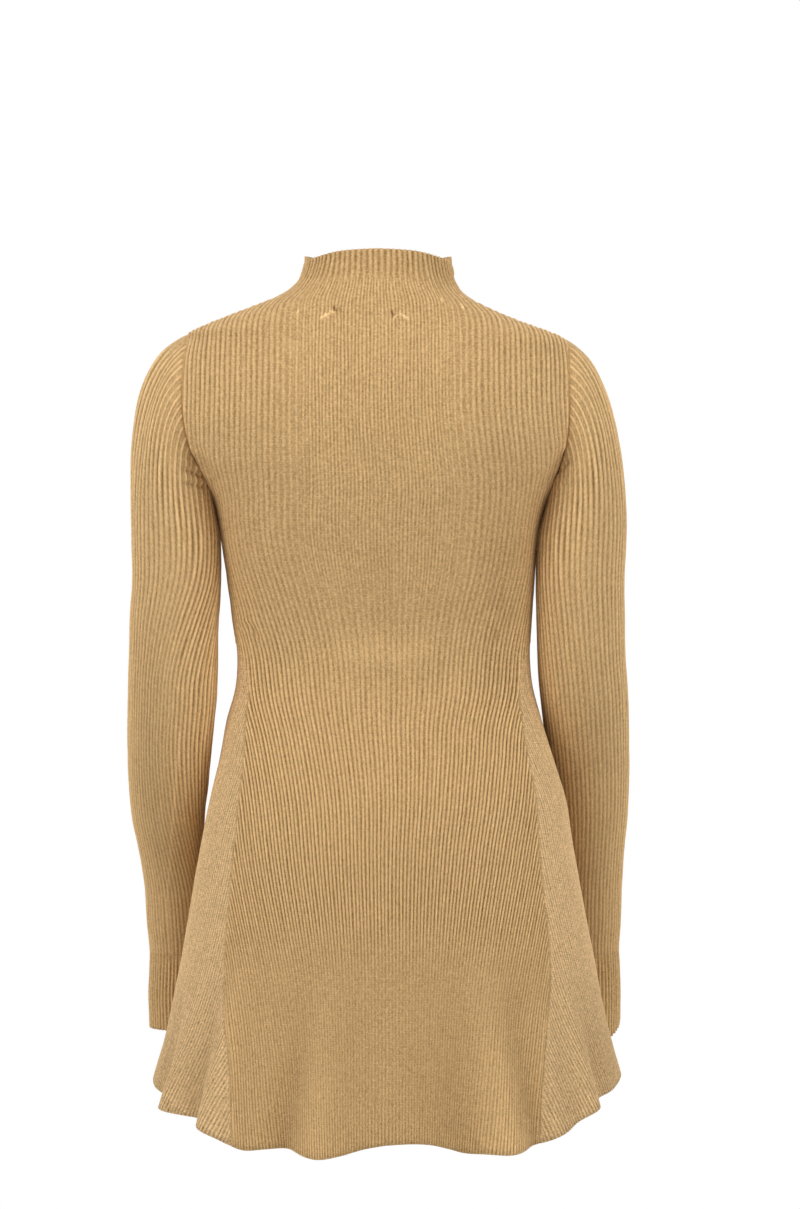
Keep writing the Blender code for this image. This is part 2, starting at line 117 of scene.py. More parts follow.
# The marks of a point, and the share of each that the inside keeps.
# rise also sets the painted shade in rib valleys, seam carries painted shade and light, the third painted
# highlights.
INSIDE_MARKS = {"rise": 0.3, "seam": 1.0, "painted_highlight": 0.0, "stretch": 1.0}

# Body sections, top to bottom.  Each is a squared ellipse with its sides on y = 0.
SQUARENESS = 2.25
BODY_COLUMNS = ("height", "half_width", "back", "front", "lean")
BODY_SECTIONS = np.array((
    (46.0,    65.0,  47.0,  70.0,  -0.9),
    (30.0,    67.0,  48.5,  71.0,  -1.0),
    (16.0,    72.4,  53.0,  73.5,   0.8),
    (5.0,     85.2,  62.0,  78.0,   4.0),
    (-5.0,   107.0,  69.0,  82.0,   7.2),
    (-14.0,  129.0,  74.5,  86.0,   8.6),
    (-23.0,  152.0,  79.5,  90.0,   7.4),
    (-28.0,  163.6,  81.7,  92.0,   5.6),
    (-32.0,  168.2,  83.5,  94.0,   1.6),
    (-52.0,  180.5,  90.0, 101.0,   0.6),
    (-83.0,  190.5,  96.0, 109.0,   0.8),
    (-105.0, 191.5,  97.5, 113.5,   0.5),
    (-124.0, 187.0,  97.5, 117.0,  -0.5),
    (-142.0, 177.5,  96.5, 119.5,  -1.5),
    (-160.0, 162.0,  94.5, 121.0,  -2.8),
    (-175.0, 151.5,  92.0, 121.0,  -3.1),
    (-195.0, 145.0,  88.0, 119.0,  -2.2),
    (-218.0, 141.2,  82.5, 114.0,  -2.2),
    (-250.0, 137.6,  74.0, 104.0,  -3.6),
    (-285.0, 133.6,  66.5,  95.0,  -4.6),
    (-321.0, 131.0,  62.5,  89.5,  -6.0),
    (-345.0, 133.0,  64.5,  89.5,  -6.4),
    (-375.0, 141.0,  73.0,  93.0,  -6.5),
    (-410.0, 149.5,  87.0,  99.0,  -8.6),
    (-446.0, 159.3,  99.0, 105.0,  -9.8),
    (-485.0, 166.3, 106.5, 110.0,  -9.0),
    (-518.0, 172.2, 111.0, 115.0,  -8.9),
    (-550.0, 177.8, 117.0, 121.5,  -9.2),
    (-590.0, 185.2, 126.0, 131.0,  -9.7),
    (-625.0, 192.0, 135.5, 141.0,  -9.5),
    (-655.0, 198.6, 144.5, 149.5,  -9.8),
    (-700.0, 211.4, 158.5, 162.0,  -9.6),
    (-745.0, 223.5, 170.0, 173.0,  -9.6),
))

COLLAR_TOP = 44.0
NECK_BASE = 5.0
YOKE = -83.0
GORE_TOP = -300.0
HEM_START = -600.0
HEM = -740.0
ARMHOLE_TOP = -32.0
ARMHOLE_HEIGHT = 143.0
ARMHOLE_HALF_DEPTH = 50.0
ARMHOLE_HALF_HEIGHT = ARMHOLE_HEIGHT / 2.0
ARMHOLE_MIDDLE = ARMHOLE_TOP - ARMHOLE_HALF_HEIGHT
ARMHOLE_BOTTOM = ARMHOLE_TOP - ARMHOLE_HEIGHT
ARMHOLE_MEAN_RADIUS = 52.0
ARMHOLE_NEAR = 120.0         # cloth nearer the middle than this has no armhole near it
FAR_AWAY = 1000.0

# Rows of points: a level, and how many steps there are from it to the next.
SHOULDER_ROWS = ((COLLAR_TOP, 14), (NECK_BASE, 24))
ARMHOLE_ROWS = 38
WAIST_ROWS = ((ARMHOLE_BOTTOM, 26),)
GORE_ROWS = ((GORE_TOP, 10), (-326.0, 53), (HEM_START, 30))
CAP_ROWS = 48
ARM_ROWS = 96
CUFF_ROWS = 26

COLLAR_COLUMNS = ("angle", "back_top", "front_top")
COLLAR_EDGE = np.array((
    (0.0,    44.3, 44.3),
    (30.0,   42.3, 44.0),
    (52.0,   38.6, 43.0),
    (90.0,   34.0, 41.8),
    (108.0,  34.0, 43.2),
    (126.0,  34.0, 42.6),
    (150.0,  35.0, 39.6),
    (180.0,  35.0, 37.0),
))
HEM_COLUMNS = ("angle", "left", "right")
HEM_EDGE = np.array((
    (0.0,   -732.0, -732.0),
    (4.0,   -735.5, -731.0),
    (8.0,   -740.5, -732.0),
    (12.0,  -743.0, -736.0),
    (15.0,  -741.5, -739.5),
    (20.0,  -737.0, -740.5),
    (26.0,  -738.0, -740.5),
    (32.0,  -739.0, -736.5),
    (36.0,  -735.0, -734.0),
    (41.0,  -727.0, -728.0),
    (47.0,  -720.0, -720.0),
    (54.0,  -716.5, -711.0),
    (63.0,  -712.0, -703.0),
    (72.0,  -703.0, -697.0),
    (90.0,  -695.0, -692.0),
    (110.0, -704.0, -703.0),
    (130.0, -719.0, -721.0),
    (155.0, -730.0, -728.0),
    (180.0, -727.0, -727.0),
))

# The seam between a gore and the back, by level, mirrored on the front.
GORE_COLUMNS = ("height", "angle")
GORE_SEAM = np.array((
    (GORE_TOP, 89.2),
    (-310.0,   80.0),
    (-326.0,   69.0),
    (-350.0,   62.5),
    (-382.0,   58.3),
    (-422.0,   55.2),
    (-470.0,   52.5),
    (-522.0,   50.6),
    (-574.0,   49.2),
    (-620.0,   45.6),
    (-664.0,   40.5),
    (-704.0,   36.8),
    (-745.0,   34.5),
))

# Skirt folds: angle, half its width as an angle, depth at the hem, height of its top.
# A trough, with a depth below nothing, tucks in beside each main ridge.
FOLDS = (
    (62.0,   4.5,  11.0, -590.0),
    (70.0,   4.5,  -8.0, -600.0),
    (43.0,   4.5,  12.5, -560.0),
    (50.5,   4.0, -11.0, -570.0),
    (14.0,   5.0,  10.5, -555.0),
    (22.0,   5.0,  -8.5, -570.0),
    (-15.5,  5.0,  -5.0, -560.0),
    (-25.0,  5.5,  10.5, -545.0),
    (-33.5,  4.0,  -6.0, -570.0),
    (-41.5,  4.0,   4.5, -600.0),
    (-54.0,  4.5,  10.5, -580.0),
    (-61.5,  4.0,  -8.0, -590.0),
    (-118.0, 7.0,  10.0, -590.0),
    (-128.0, 5.5,  -7.0, -600.0),
    (-152.0, 6.5,   7.5, -620.0),
    (-162.0, 5.0,  -5.0, -620.0),
    (167.0,  7.0,   8.5, -575.0),
    (156.0,  5.5,  -6.0, -590.0),
    (138.0,  6.0,  10.0, -610.0),
    (128.5,  4.5,  -7.0, -610.0),
    (108.0,  6.0,   7.0, -640.0),
)
FOLD_GROWTH = 1.35
FOLD_RELIEF = 0.04           # ribs stand out more on a ridge, by this for each millimetre

# Broad painted shade and painted light in the cloth's colour: it is darker by these, or paler
# where a name says light.
FOLD_SHADE = 0.012           # in a trough, for each millimetre
PANEL_FOLD_SHADE = 0.052     # and on the back and front by this more
SKIRT_SHADE = 0.24           # in the middle of the lower skirt
SKIRT_SHADED = (430.0, 600.0)
GORE_HEM_SHADE = 0.50        # towards the hem of a gore
GORE_HEM_SHADED = (580.0, 720.0)
GORE_HIP_LIGHT = (0.15, 0.45)    # on a gore over the hip, on the left and on the right
GORE_HIP = -465.0
GORE_HIP_REACH = 110.0
YOKE_SIDE_LIGHT = 0.34       # on the back and front beside the armholes
YOKE_SIDE_LIT = ((40.0, 90.0), (150.0, 230.0))
NECK_SHADE = 0.20            # on the neck, by level
NECK_SHADED = (-45.0, 5.0)
SEAM_SHADE = 0.5             # in a seam, for each millimetre of its dip
ARMHOLE_SHADE = -0.8         # but painted paler in an armhole's, a painted light against its shadow
PIT_SHADE = 0.8              # in a pit, for each millimetre
SHALLOW_CREASE = 1.2         # in a crease, for each millimetre deeper than this
CREASE_SHADE = 0.4
SLEEVE_CREASE_SHADE = 0.2    # in a sleeve's creases, for each millimetre

# Ribs of the body: the distance from one to the next along the cloth, by level.
PITCH_COLUMNS = ("height", "pitch")
RIB_PITCH = np.array((
    (YOKE,   6.40),
    (-232.0, 6.35),
    (-276.0, 5.43),
    (-311.0, 4.83),
    (-355.0, 4.48),
    (-381.0, 4.16),
    (-406.0, 3.94),
    (-432.0, 3.70),
    (-458.0, 3.52),
    (-490.0, 3.34),
    (-531.0, 3.16),
    (-570.0, 3.06),
    (-745.0, 3.06),
))
# Ribs stand closer towards the sides: from the first of these numbers on to the second, up to
# CROWDING more of them.  By level, the share of this that holds.
CROWDED_FROM = 5.0
CROWDED_FULLY = 20.0
CROWDING = 0.27
CROWD_COLUMNS = ("height", "share")
CROWD_SHARE = np.array((
    (YOKE,   1.0),
    (-190.0, 1.0),
    (-230.0, 0.95),
    (-280.0, 0.6),
    (-330.0, 0.4),
    (-390.0, 0.3),
    (-440.0, 0.05),
    (-490.0, 0.0),
    (-531.0, 0.10),
    (-600.0, 0.36),
    (-660.0, 0.52),
    (-745.0, 0.62),
))
# Below the hips ribs lean towards the centre: this many more of them come in there, by level.
LEAN_FROM = 6.0
LEAN_FULLY = 84.0
LEAN_COLUMNS = ("height", "ribs")
LEAN_RIBS = np.array((
    (-480.0, 0.0),
    (-520.0, 0.0),
    (-560.0, 0.7),
    (-600.0, 1.9),
    (-640.0, 3.3),
    (-690.0, 5.0),
    (-745.0, 6.8),
))
# Over the yoke: how far ribs shift towards the neck, by the share of the way out to the side, and
# how many more ribs come in at the ridge of the shoulder.
SHIFT_SHARES = (0.0, 0.30, 0.55, 0.70, 0.85, 1.0)
NECK_COLUMNS = ("height", "at_0", "at_30", "at_55", "at_70", "at_85", "at_100", "extra_ribs")
NECK_SHIFT = np.array((
    (46.0,  0.0, 5.0, 11.2, 17.0, 26.5, 32.0, 2.4),
    (34.0,  0.0, 4.4, 10.7, 15.5, 25.0, 31.0, 2.4),
    (20.0,  0.0, 4.4,  9.0, 12.0, 21.0, 26.5, 2.0),
    (9.0,   0.0, 3.6,  5.8,  8.4, 17.0, 22.0, 1.0),
    (0.0,   0.0, 1.8,  2.2,  4.6, 10.5, 13.0, 0.4),
    (-5.0,  0.0, 1.0,  1.2,  3.2,  8.0, 10.0, 0.3),
    (-14.0, 0.0, 0.4,  0.8,  1.6,  3.0,  5.0, 0.4),
    (-23.0, 0.0, 0.0,  0.0,  0.4,  1.5,  3.5, 0.6),
    (-32.0, 0.0, 0.0,  0.0,  0.0,  0.8,  2.5, 0.6),
    (-45.0, 0.0, 0.0,  0.0,  0.0,  0.3,  1.0, 0.3),
    (-60.0, 0.0, 0.0,  0.0,  0.0,  0.0,  0.0, 0.0),
    (YOKE,  0.0, 0.0,  0.0,  0.0,  0.0,  0.0, 0.0),
))
RIDGE_SHARE = 0.66           # the extra ribs come in past this share of the cloth across
# Where the cloth is stretched across, a second thread shows in each valley: by depth and by number.
STRETCHED_DEPTHS = ((-26.0, -10.0), (235.0, 300.0))
STRETCHED_RIBS = (7.0, 16.0)
STRETCH_GAIN = 0.6           # stretched ribs stand out by this much more
GORE_RIB_PITCH = 2.9

# A rib's section, and the slow waves that make it irregular down its length: how large each wave
# is, its length over 2 pi, and how much later it starts from one rib to the next.
RIB_NARROWING = 1.35
RIB_ROUNDING = 0.8
THREAD_DROP = 0.15           # half of how much lower the second thread stands
WANDER_WAVES = ((0.045, 13.0, 2.4), (0.035, 31.0, 5.1))    # sideways, as a share of the pitch
STRENGTH_WAVES = ((0.14, 9.0, 3.7), (0.12, 55.0, 1.9))     # in height, as a share of it

# Rib relief by height: in the middle of the back or front, and at its side edges.
RELIEF_COLUMNS = ("height", "middle", "side")
RELIEF = np.array((
    (46.0,   0.95, 1.00),
    (22.0,   0.72, 0.95),
    (5.0,    0.54, 0.78),
    (-40.0,  0.55, 1.00),
    (-95.0,  0.55, 0.96),
    (-130.0, 0.48, 0.70),
    (-170.0, 0.45, 0.56),
    (-250.0, 0.36, 0.80),
    (-300.0, 0.42, 1.35),
    (-355.0, 0.68, 1.45),
    (-400.0, 0.90, 1.35),
    (-445.0, 1.00, 1.30),
    (-500.0, 1.05, 1.30),
    (-540.0, 1.05, 1.30),
    (-570.0, 0.68, 1.05),
    (-590.0, 0.38, 0.82),
    (-640.0, 0.31, 0.75),
    (-712.0, 0.40, 0.75),
    (-745.0, 0.70, 0.75),
))
GORE_RELIEF = np.array((
    (GORE_TOP, 0.62, 0.62),
    (-560.0,   0.60, 0.60),
    (-650.0,   0.55, 0.52),
    (-712.0,   0.50, 0.42),
    (-745.0,   0.60, 0.52),
))

# Sleeves and cuffs below the armhole: level ellipses, each arm hanging in its own place.
ARM_COLUMNS = ("height", "left_x", "left_y", "right_x", "right_y", "half_width", "half_depth")
ARM_SECTIONS = np.array((
    (-215.0, 180.4,    5.0, 184.0,    5.0, 39.2, 45.0),
    (-250.0, 180.1,    6.0, 182.6,    6.0, 38.9, 43.5),
    (-285.0, 182.2,    7.0, 183.0,    5.0, 38.8, 42.0),
    (-321.0, 183.0,    7.0, 184.0,    1.0, 38.8, 41.5),
    (-357.0, 184.2,    4.0, 187.0,   -9.0, 38.8, 41.0),
    (-393.0, 186.6,   -3.0, 190.4,  -28.0, 37.2, 39.5),
    (-430.0, 188.6,  -16.0, 194.0,  -50.0, 35.2, 37.5),
    (-467.0, 189.6,  -32.0, 196.2,  -60.0, 32.0, 34.5),
    (-495.0, 187.6,  -47.0, 196.6,  -67.0, 29.4, 32.0),
    (-530.0, 184.8,  -64.0, 196.4,  -77.0, 28.0, 30.5),
    (-565.0, 184.6,  -79.0, 196.8,  -88.0, 27.2, 29.5),
    (-592.0, 184.2,  -90.0, 197.2,  -98.0, 25.8, 28.0),
    (-604.0, 184.6,  -94.0, 198.0, -102.0, 25.8, 28.0),
    (-632.0, 186.0, -105.0, 199.0, -112.0, 26.2, 28.2),
    (-664.0, 185.6, -116.0, 199.2, -123.0, 26.4, 28.4),
))
CAP_END = -215.0
SLEEVE_END = -592.0
CUFF_END = -664.0
SLEEVE_RIBS = 48
ONCE_ROUND = np.linspace(0.0, 2.0 * np.pi, SLEEVE_RIBS * RIB_COLUMNS + 1)

# The cap's form.
CAP_PULL = 0.8               # how far it holds its heading, as a share of its length
CAP_CROWDING = 1.25
CAP_FULLNESS = 0.15
CAP_TUCK = -0.008            # it starts behind its seam, under the body's edge, by this share of itself
CAP_TUCK_DIP = 0.5
CAP_DROOP = 0.65             # how steeply it leaves its seam halfway from its top to its back or front
CAP_BACK_DROOP = 0.25        # and at its back and front
CAP_HALFWAY = 0.5
UNDERARM_INWARD = 0.22       # under the arm it leaves its seam towards the body by this much
UNDERARM_POWER = 4
TOP_LIFT_REACH = 0.22        # as the sine of half the turn from its top
TOP_PULL_REACH = 0.3

# Rib relief on a sleeve.  What ends with distance from the armhole's seam has its two distances.
SLEEVE_RELIEF = 0.52
OUTER_RELIEF = 0.50          # more along the outer edge, and all round the cap
CAP_OUTER_ENDS = (60.0, 150.0)
CAP_RELIEF = 0.22            # and more on the cap
CAP_RELIEF_ENDS = (70.0, 130.0)
FOREARM_LOSS = 0.06
FOREARM_LOST = (300.0, 520.0)
TOP_FLATNESS = 0.85          # flat right at the cap's top
TOP_FLAT_ENDS = (12.0, 34.0)
TOP_FLAT_SIDES = (0.30, 0.55)
CAP_THREADS = 0.55           # a second thread shows in the valleys of the cap's back and front
CAP_THREADS_END = (20.0, 75.0)
ELBOW_SWING = ((222.0, 350.0), (390.0, 585.0))
ELBOW_RAISED = ((230.0, 300.0), (420.0, 490.0))
CUFF_RELIEF = 0.90
CUFF_SEAM_RELIEF = 0.36      # where it joins the sleeve
CUFF_OUTER_RELIEF = 0.56
CUFF_BLEND = 14.0

# Creases: 1 on the back or -1 on the front, both ends as x and z, half width, and height, which is
# below nothing for a furrow.
CREASE_FACING = 2.0          # a crease shows where the cloth faces its side, fully from 1 over this
CREASE_END = 1.2             # it fades past its ends over its half width times this
BODY_CREASES = (
    (1,  157.4, -136.2,  145.9, -161.0, 3.5, -2.2),
    (1,  150.0, -128.0,  136.0, -150.0, 5.0,  1.2),
    (1,  163.0, -141.0,  155.0, -150.0, 2.5, -1.6),
    (1, -165.0, -139.0, -153.0, -163.0, 3.5, -2.2),
    (1, -158.0, -130.0, -145.0, -154.0, 4.5,  1.2),
    (1,  112.8, -291.5,  105.7, -298.5, 2.4, -2.3),
    (1,  119.0, -287.0,  110.0, -285.0, 4.0,  1.2),
    (1, -119.0, -281.0, -106.0, -304.0, 3.2, -1.5),
    (1,   30.0, -318.0,  -45.0, -317.0, 11.0, 1.5),
    (1,   20.0, -340.0,  -60.0, -342.0,  7.0, -1.0),
    (1,   70.0, -291.0,  -80.0, -289.0, 15.0, -1.1),
    (-1, 160.0, -134.0,  147.0, -162.0, 4.0, -1.4),
    (-1, -166.0, -136.0, -153.0, -163.0, 4.0, -1.3),
    (-1, 104.0, -296.0,   -8.0, -310.0, 8.0, -1.0),
    (-1, -110.0, -284.0, -30.0, -300.0, 7.0, -1.0),
)
# Where a tack inside draws the cloth in: x, z, how far round, and how strongly.
PUCKER_UP_SHARE = 0.5        # the share of this that it does up and down
PUCKERS = (
    (38.0, -12.5, 6.5, 0.34),
    (-15.5, -16.0, 6.0, 0.32),
)
# Hollows painted darker than a crease, as painted shade: four beside the tacks, a line between
# them, and a shallow one right of the waist that is mostly painted shade.
PITS = (
    (1,   37.6,  -9.4,   35.2, -12.2, 1.2, -2.4),
    (1,   31.9, -11.2,   30.6, -13.0, 1.0, -1.7),
    (1,  -12.8, -13.6,  -14.6, -17.4, 1.2, -2.4),
    (1,  -18.2, -16.2,  -19.4, -18.2, 1.0, -1.7),
    (1,   28.0, -14.6,  -11.0, -15.6, 0.7, -0.45),
    (1, -110.0, -225.0, -104.0, -345.0, 17.0, -0.38),
)
# Cloth that stands out and is painted paler, a painted highlight: a patch at the small of the back,
# then loops of yarn.
HIGHLIGHTED_RAISES = (
    (1,   18.0, -317.0,  -30.0, -317.0, 13.0, 0.15),
    (1,   41.6, -14.0,   36.9, -15.2, 0.9, 1.2),
    (1,   48.4, -19.4,   42.4, -16.4, 0.9, 1.2),
    (1,   45.6, -16.2,   43.0, -19.6, 0.8, 0.8),
    (1,  -16.2, -19.4,  -18.9, -17.2, 0.9, 1.1),
    (1,  -21.4, -16.6,  -27.6, -20.4, 0.9, 1.2),
    (1,  -57.0,  -0.6,  -58.2,  -3.6, 0.9, 0.9),
    (1,  -74.6,  -6.6,  -76.6,  -9.8, 0.9, 0.9),
    (1,   68.4, -12.8,   70.4, -15.8, 0.9, 0.8),
)
LEFT_SLEEVE_CREASES = (
    (1,  170.7, -151.5,  156.5, -157.3, 1.6, -2.0),
    (1,  168.0, -164.4,  154.1, -166.8, 1.5, -1.6),
    (1,  176.0, -144.0,  160.0, -150.0, 2.6,  1.1),
    (1,  172.0, -159.0,  157.0, -162.0, 2.2,  0.9),
    (1,  166.5, -300.0,  172.5, -317.0, 2.0, -1.5),
    (-1, 172.0, -152.0,  157.0, -160.0, 2.0, -1.4),
)
RIGHT_SLEEVE_CREASES = (
    (1, -172.0, -144.0, -157.0, -158.0, 1.8, -1.6),
    (1, -178.0, -156.0, -162.0, -166.0, 2.4,  1.0),
    (-1, -172.0, -150.0, -158.0, -160.0, 2.0, -1.4),
)
# The line of turned stitches down the left forearm.
FOREARM_CHAIN = (
    (1, 175.1, -383.0, 191.2, -541.0, 0.9, 0.40),
    (1, 191.2, -541.0, 190.7, -565.0, 0.9, 0.40),
    (1, 190.7, -565.0, 189.1, -592.0, 0.9, 0.35),
)


class Arm(NamedTuple):
    """What differs from one arm to the other."""

    name: str                # as in the columns of ARM_SECTIONS
    side: float              # 1 on the left, -1 on the right
    creases: tuple
    top_droop: float         # how steeply the cap leaves its seam at its top
    top_pull: float          # how much further it holds its heading there
    top_lift: float          # how much higher its seam stands there
    twist: float             # how far round, in radians, the inner ribs swing above the elbow
    elbow_relief: float      # how much higher they stand there
    cuff_slant: float        # how far the cuff's edge drops, times the sine of the turn from cuff_turn
    cuff_turn: float


LEFT_ARM = Arm("left", 1.0, LEFT_SLEEVE_CREASES + FOREARM_CHAIN, top_droop=0.40, top_pull=0.25,
               top_lift=3.6, twist=0.80, elbow_relief=0.95, cuff_slant=1.0, cuff_turn=0.0)
RIGHT_ARM = Arm("right", -1.0, RIGHT_SLEEVE_CREASES, top_droop=0.35, top_pull=0.0,
                top_lift=0.0, twist=0.25, elbow_relief=0.30, cuff_slant=17.0, cuff_turn=20.0)

# How the knitting is painted.  Light 0 gives the first colour of a pair, the colour of painted
# shade in rib valleys, and 1 the second, that of the crests.
CAMEL = ((0.250, 0.136, 0.042, 1.0), (0.640, 0.415, 0.190, 1.0))
PALE_CAMEL = ((0.262, 0.150, 0.053, 1.0), (0.640, 0.423, 0.206, 1.0))
# depth is the painted valley shade; fine_knit's high mean_light is part paler yarn, part painted light.
KNITS = (
    # name, colours, mean_light, depth, grain, rows, stitch_bump, nap_bump
    ("rib_knit",    CAMEL,      0.72, 0.90, 0.40, 0.24, 0.18, 0.36),
    ("fine_knit",   PALE_CAMEL, 1.17, 1.50, 0.70, 0.60, 0.32, 0.48),
    ("sleeve_knit", CAMEL,      0.83, 1.05, 0.42, 0.26, 0.18, 0.38),
    ("cuff_knit",   CAMEL,      0.64, 0.95, 0.42, 0.26, 0.18, 0.38),
)
# Painted shade in the rib valleys, darker by depth times the relief.
VALLEY_POWER = 1.5
VALLEY_MEAN = 0.55
STRETCHED_VALLEY = 0.85      # how dark a stretched rib's two painted-shade valleys are beside a plain one's
WALES_PER_RIB = 4.0          # columns of stitches
STITCH_SLANT = 0.9
STITCH_START = 0.25
NAP = (760.0, 1.0, 0.6)      # scale, detail, roughness
HEATHER = (430.0, 1.0, 0.5)
PATCHES = (24.0, 2.0, 0.5)
NAP_GRAIN = 2.0
HEATHER_GRAIN = 1.1
GRAIN_MEAN = (1.0 + NAP_GRAIN + HEATHER_GRAIN) / 2.0    # each of the three is a half on average
# The next two scale the seam mark's painted shade and light, and the painted highlights.
PAINTED_SHADE_SCALE = 0.40
LOOP_LIGHT = 0.95
PATCH_LIGHT = 0.16
HEATHER_BUMP = 0.5

# Slopes are measured over this much to each side: round the body or an arm, up and down, and along
# a cap.
ANGLE_NUDGE = 0.01
LEVEL_NUDGE = 1.0
ALONG_NUDGE = 0.01


def smooth(table, columns, name, at):
    """Read one column of a table at any place, by cubic pieces that share their slopes."""
    places = table[:, 0]
    values = table[:, columns.index(name)]
    if places[0] > places[-1]:
        places, values = places[::-1], values[::-1]
    slopes = np.gradient(values, places)
    at = np.clip(at, places[0], places[-1])
    piece = np.clip(np.searchsorted(places, at) - 1, 0, len(places) - 2)
    span = places[piece + 1] - places[piece]
    t = (at - places[piece]) / span
    rise = values[piece + 1] - values[piece]
    start, end = slopes[piece] * span, slopes[piece + 1] * span
    return values[piece] + t * (start + t * (3 * rise - 2 * start - end + t * (start + end - 2 * rise)))


def ease(value, low, high):
    """0 below low, 1 above high, and 3 t^2 - 2 t^3 between them."""
    t = np.clip((value - low) / (high - low), 0.0, 1.0)
    return t * t * (3.0 - 2.0 * t)


def ebb(value, low, high):
    """1 below low and 0 above high: 1 - ease."""
    return 1.0 - ease(value, low, high)


def within(value, comes_in, goes_out):
    """0, 1 and 0 again: ease over the first pair of values less ease over the second."""
    return ease(value, *comes_in) - ease(value, *goes_out)


def bell(distance, width):
    """exp of minus the square of distance / width."""
    return np.exp(-(distance / width) ** 2)


# ---------------------------------------------------------------------------------------------
# The body's form.
def body_section(name, height):
    """One measure of the body's section at a height."""
    return smooth(BODY_SECTIONS, BODY_COLUMNS, name, height)


def edge_height(angle, level):
    """The real height of a level: the outermost levels follow the collar's edge and the hem."""
    turn = np.degrees(angle) % 360.0
    from_back = np.minimum(turn, 360.0 - turn)
    collar = np.where(from_back > 90.0, smooth(COLLAR_EDGE, COLLAR_COLUMNS, "front_top", from_back),
                      smooth(COLLAR_EDGE, COLLAR_COLUMNS, "back_top", from_back))
    hem = np.where(turn <= 180.0, smooth(HEM_EDGE, HEM_COLUMNS, "left", from_back),
                   smooth(HEM_EDGE, HEM_COLUMNS, "right", from_back))
    up = np.clip((level - NECK_BASE) / (COLLAR_TOP - NECK_BASE), 0.0, None)
    down = np.clip((HEM_START - level) / (HEM_START - HEM), 0.0, None)
    return level + up * (collar - COLLAR_TOP) + down * (hem - HEM)


def fold_swell(angle, height):
    """How far the folds stand out of the plain skirt: each is a bell round its angle, times the
    share of the way from its top to the hem to the power FOLD_GROWTH."""
    swell = np.zeros(np.broadcast(angle, height).shape)
    for place, half_angle, depth, top in FOLDS:
        away = (np.degrees(angle) - place + 180.0) % 360.0 - 180.0
        drop = np.clip((top - height) / (top - HEM), 0.0, None)
        swell += depth * drop ** FOLD_GROWTH * bell(away, half_angle)
    return swell


def plain_section(angle, height):
    """A body section without its lean and folds: x = w sin^p, y = d cos^p, with p = 2 / squareness
    and the sign of each sine or cosine kept.  d is the back's or the front's depth."""
    power = 2.0 / SQUARENESS
    across, along = np.sin(angle), np.cos(angle)
    depth = np.where(along > 0.0, body_section("back", height), body_section("front", height))
    x = body_section("half_width", height) * np.sign(across) * np.abs(across) ** power
    y = depth * np.sign(along) * np.abs(along) ** power
    return x, y


def body_point(angle, level):
    """The outside of the body under its ribs: the plain section, leaned, plus the folds' swell."""
    height = edge_height(angle, level)
    x, y = plain_section(angle, height)
    swell = fold_swell(angle, height)
    x = x + body_section("lean", height) + swell * np.sin(angle)
    return np.stack((x, y + swell * np.cos(angle), height), -1)


def slope_normal(point, first, second, first_step, second_step):
    """The direction across a surface: the cross product of its two slopes, one unit long."""
    around = point(first + first_step, second) - point(first - first_step, second)
    along = point(first, second + second_step) - point(first, second - second_step)
    normal = np.cross(around, along)
    return normal / np.linalg.norm(normal, axis=-1, keepdims=True)


def body_normal(angle, level):
    """The direction out of the body: slope_normal, turned away from the middle."""
    level = np.clip(level, HEM + LEVEL_NUDGE, COLLAR_TOP - LEVEL_NUDGE)
    normal = slope_normal(body_point, angle, level, ANGLE_NUDGE, LEVEL_NUDGE)
    outward = normal[..., 0] * np.sin(angle) + normal[..., 1] * np.cos(angle)
    return normal * np.sign(outward)[..., None]


def arc_from(centre, offsets, level):
    """The length of cloth from a centre line to each offset angle, on the plain section."""
    x, y = plain_section(centre + offsets, level)
    arc = np.concatenate(((0.0,), np.cumsum(np.hypot(np.diff(x), np.diff(y)))))
    return arc - np.interp(0.0, offsets, arc)


def crowded(numbers, share):
    """Rib numbers with more ribs towards the sides: the sum of share * CROWDING * ease."""
    size = np.abs(numbers)
    span = CROWDED_FULLY - CROWDED_FROM
    t = np.clip((size - CROWDED_FROM) / span, 0.0, 1.0)
    added = span * (t ** 3 - t ** 4 / 2.0) + np.clip(size - CROWDED_FULLY, 0.0, None)
    return numbers + np.sign(numbers) * share * CROWDING * added


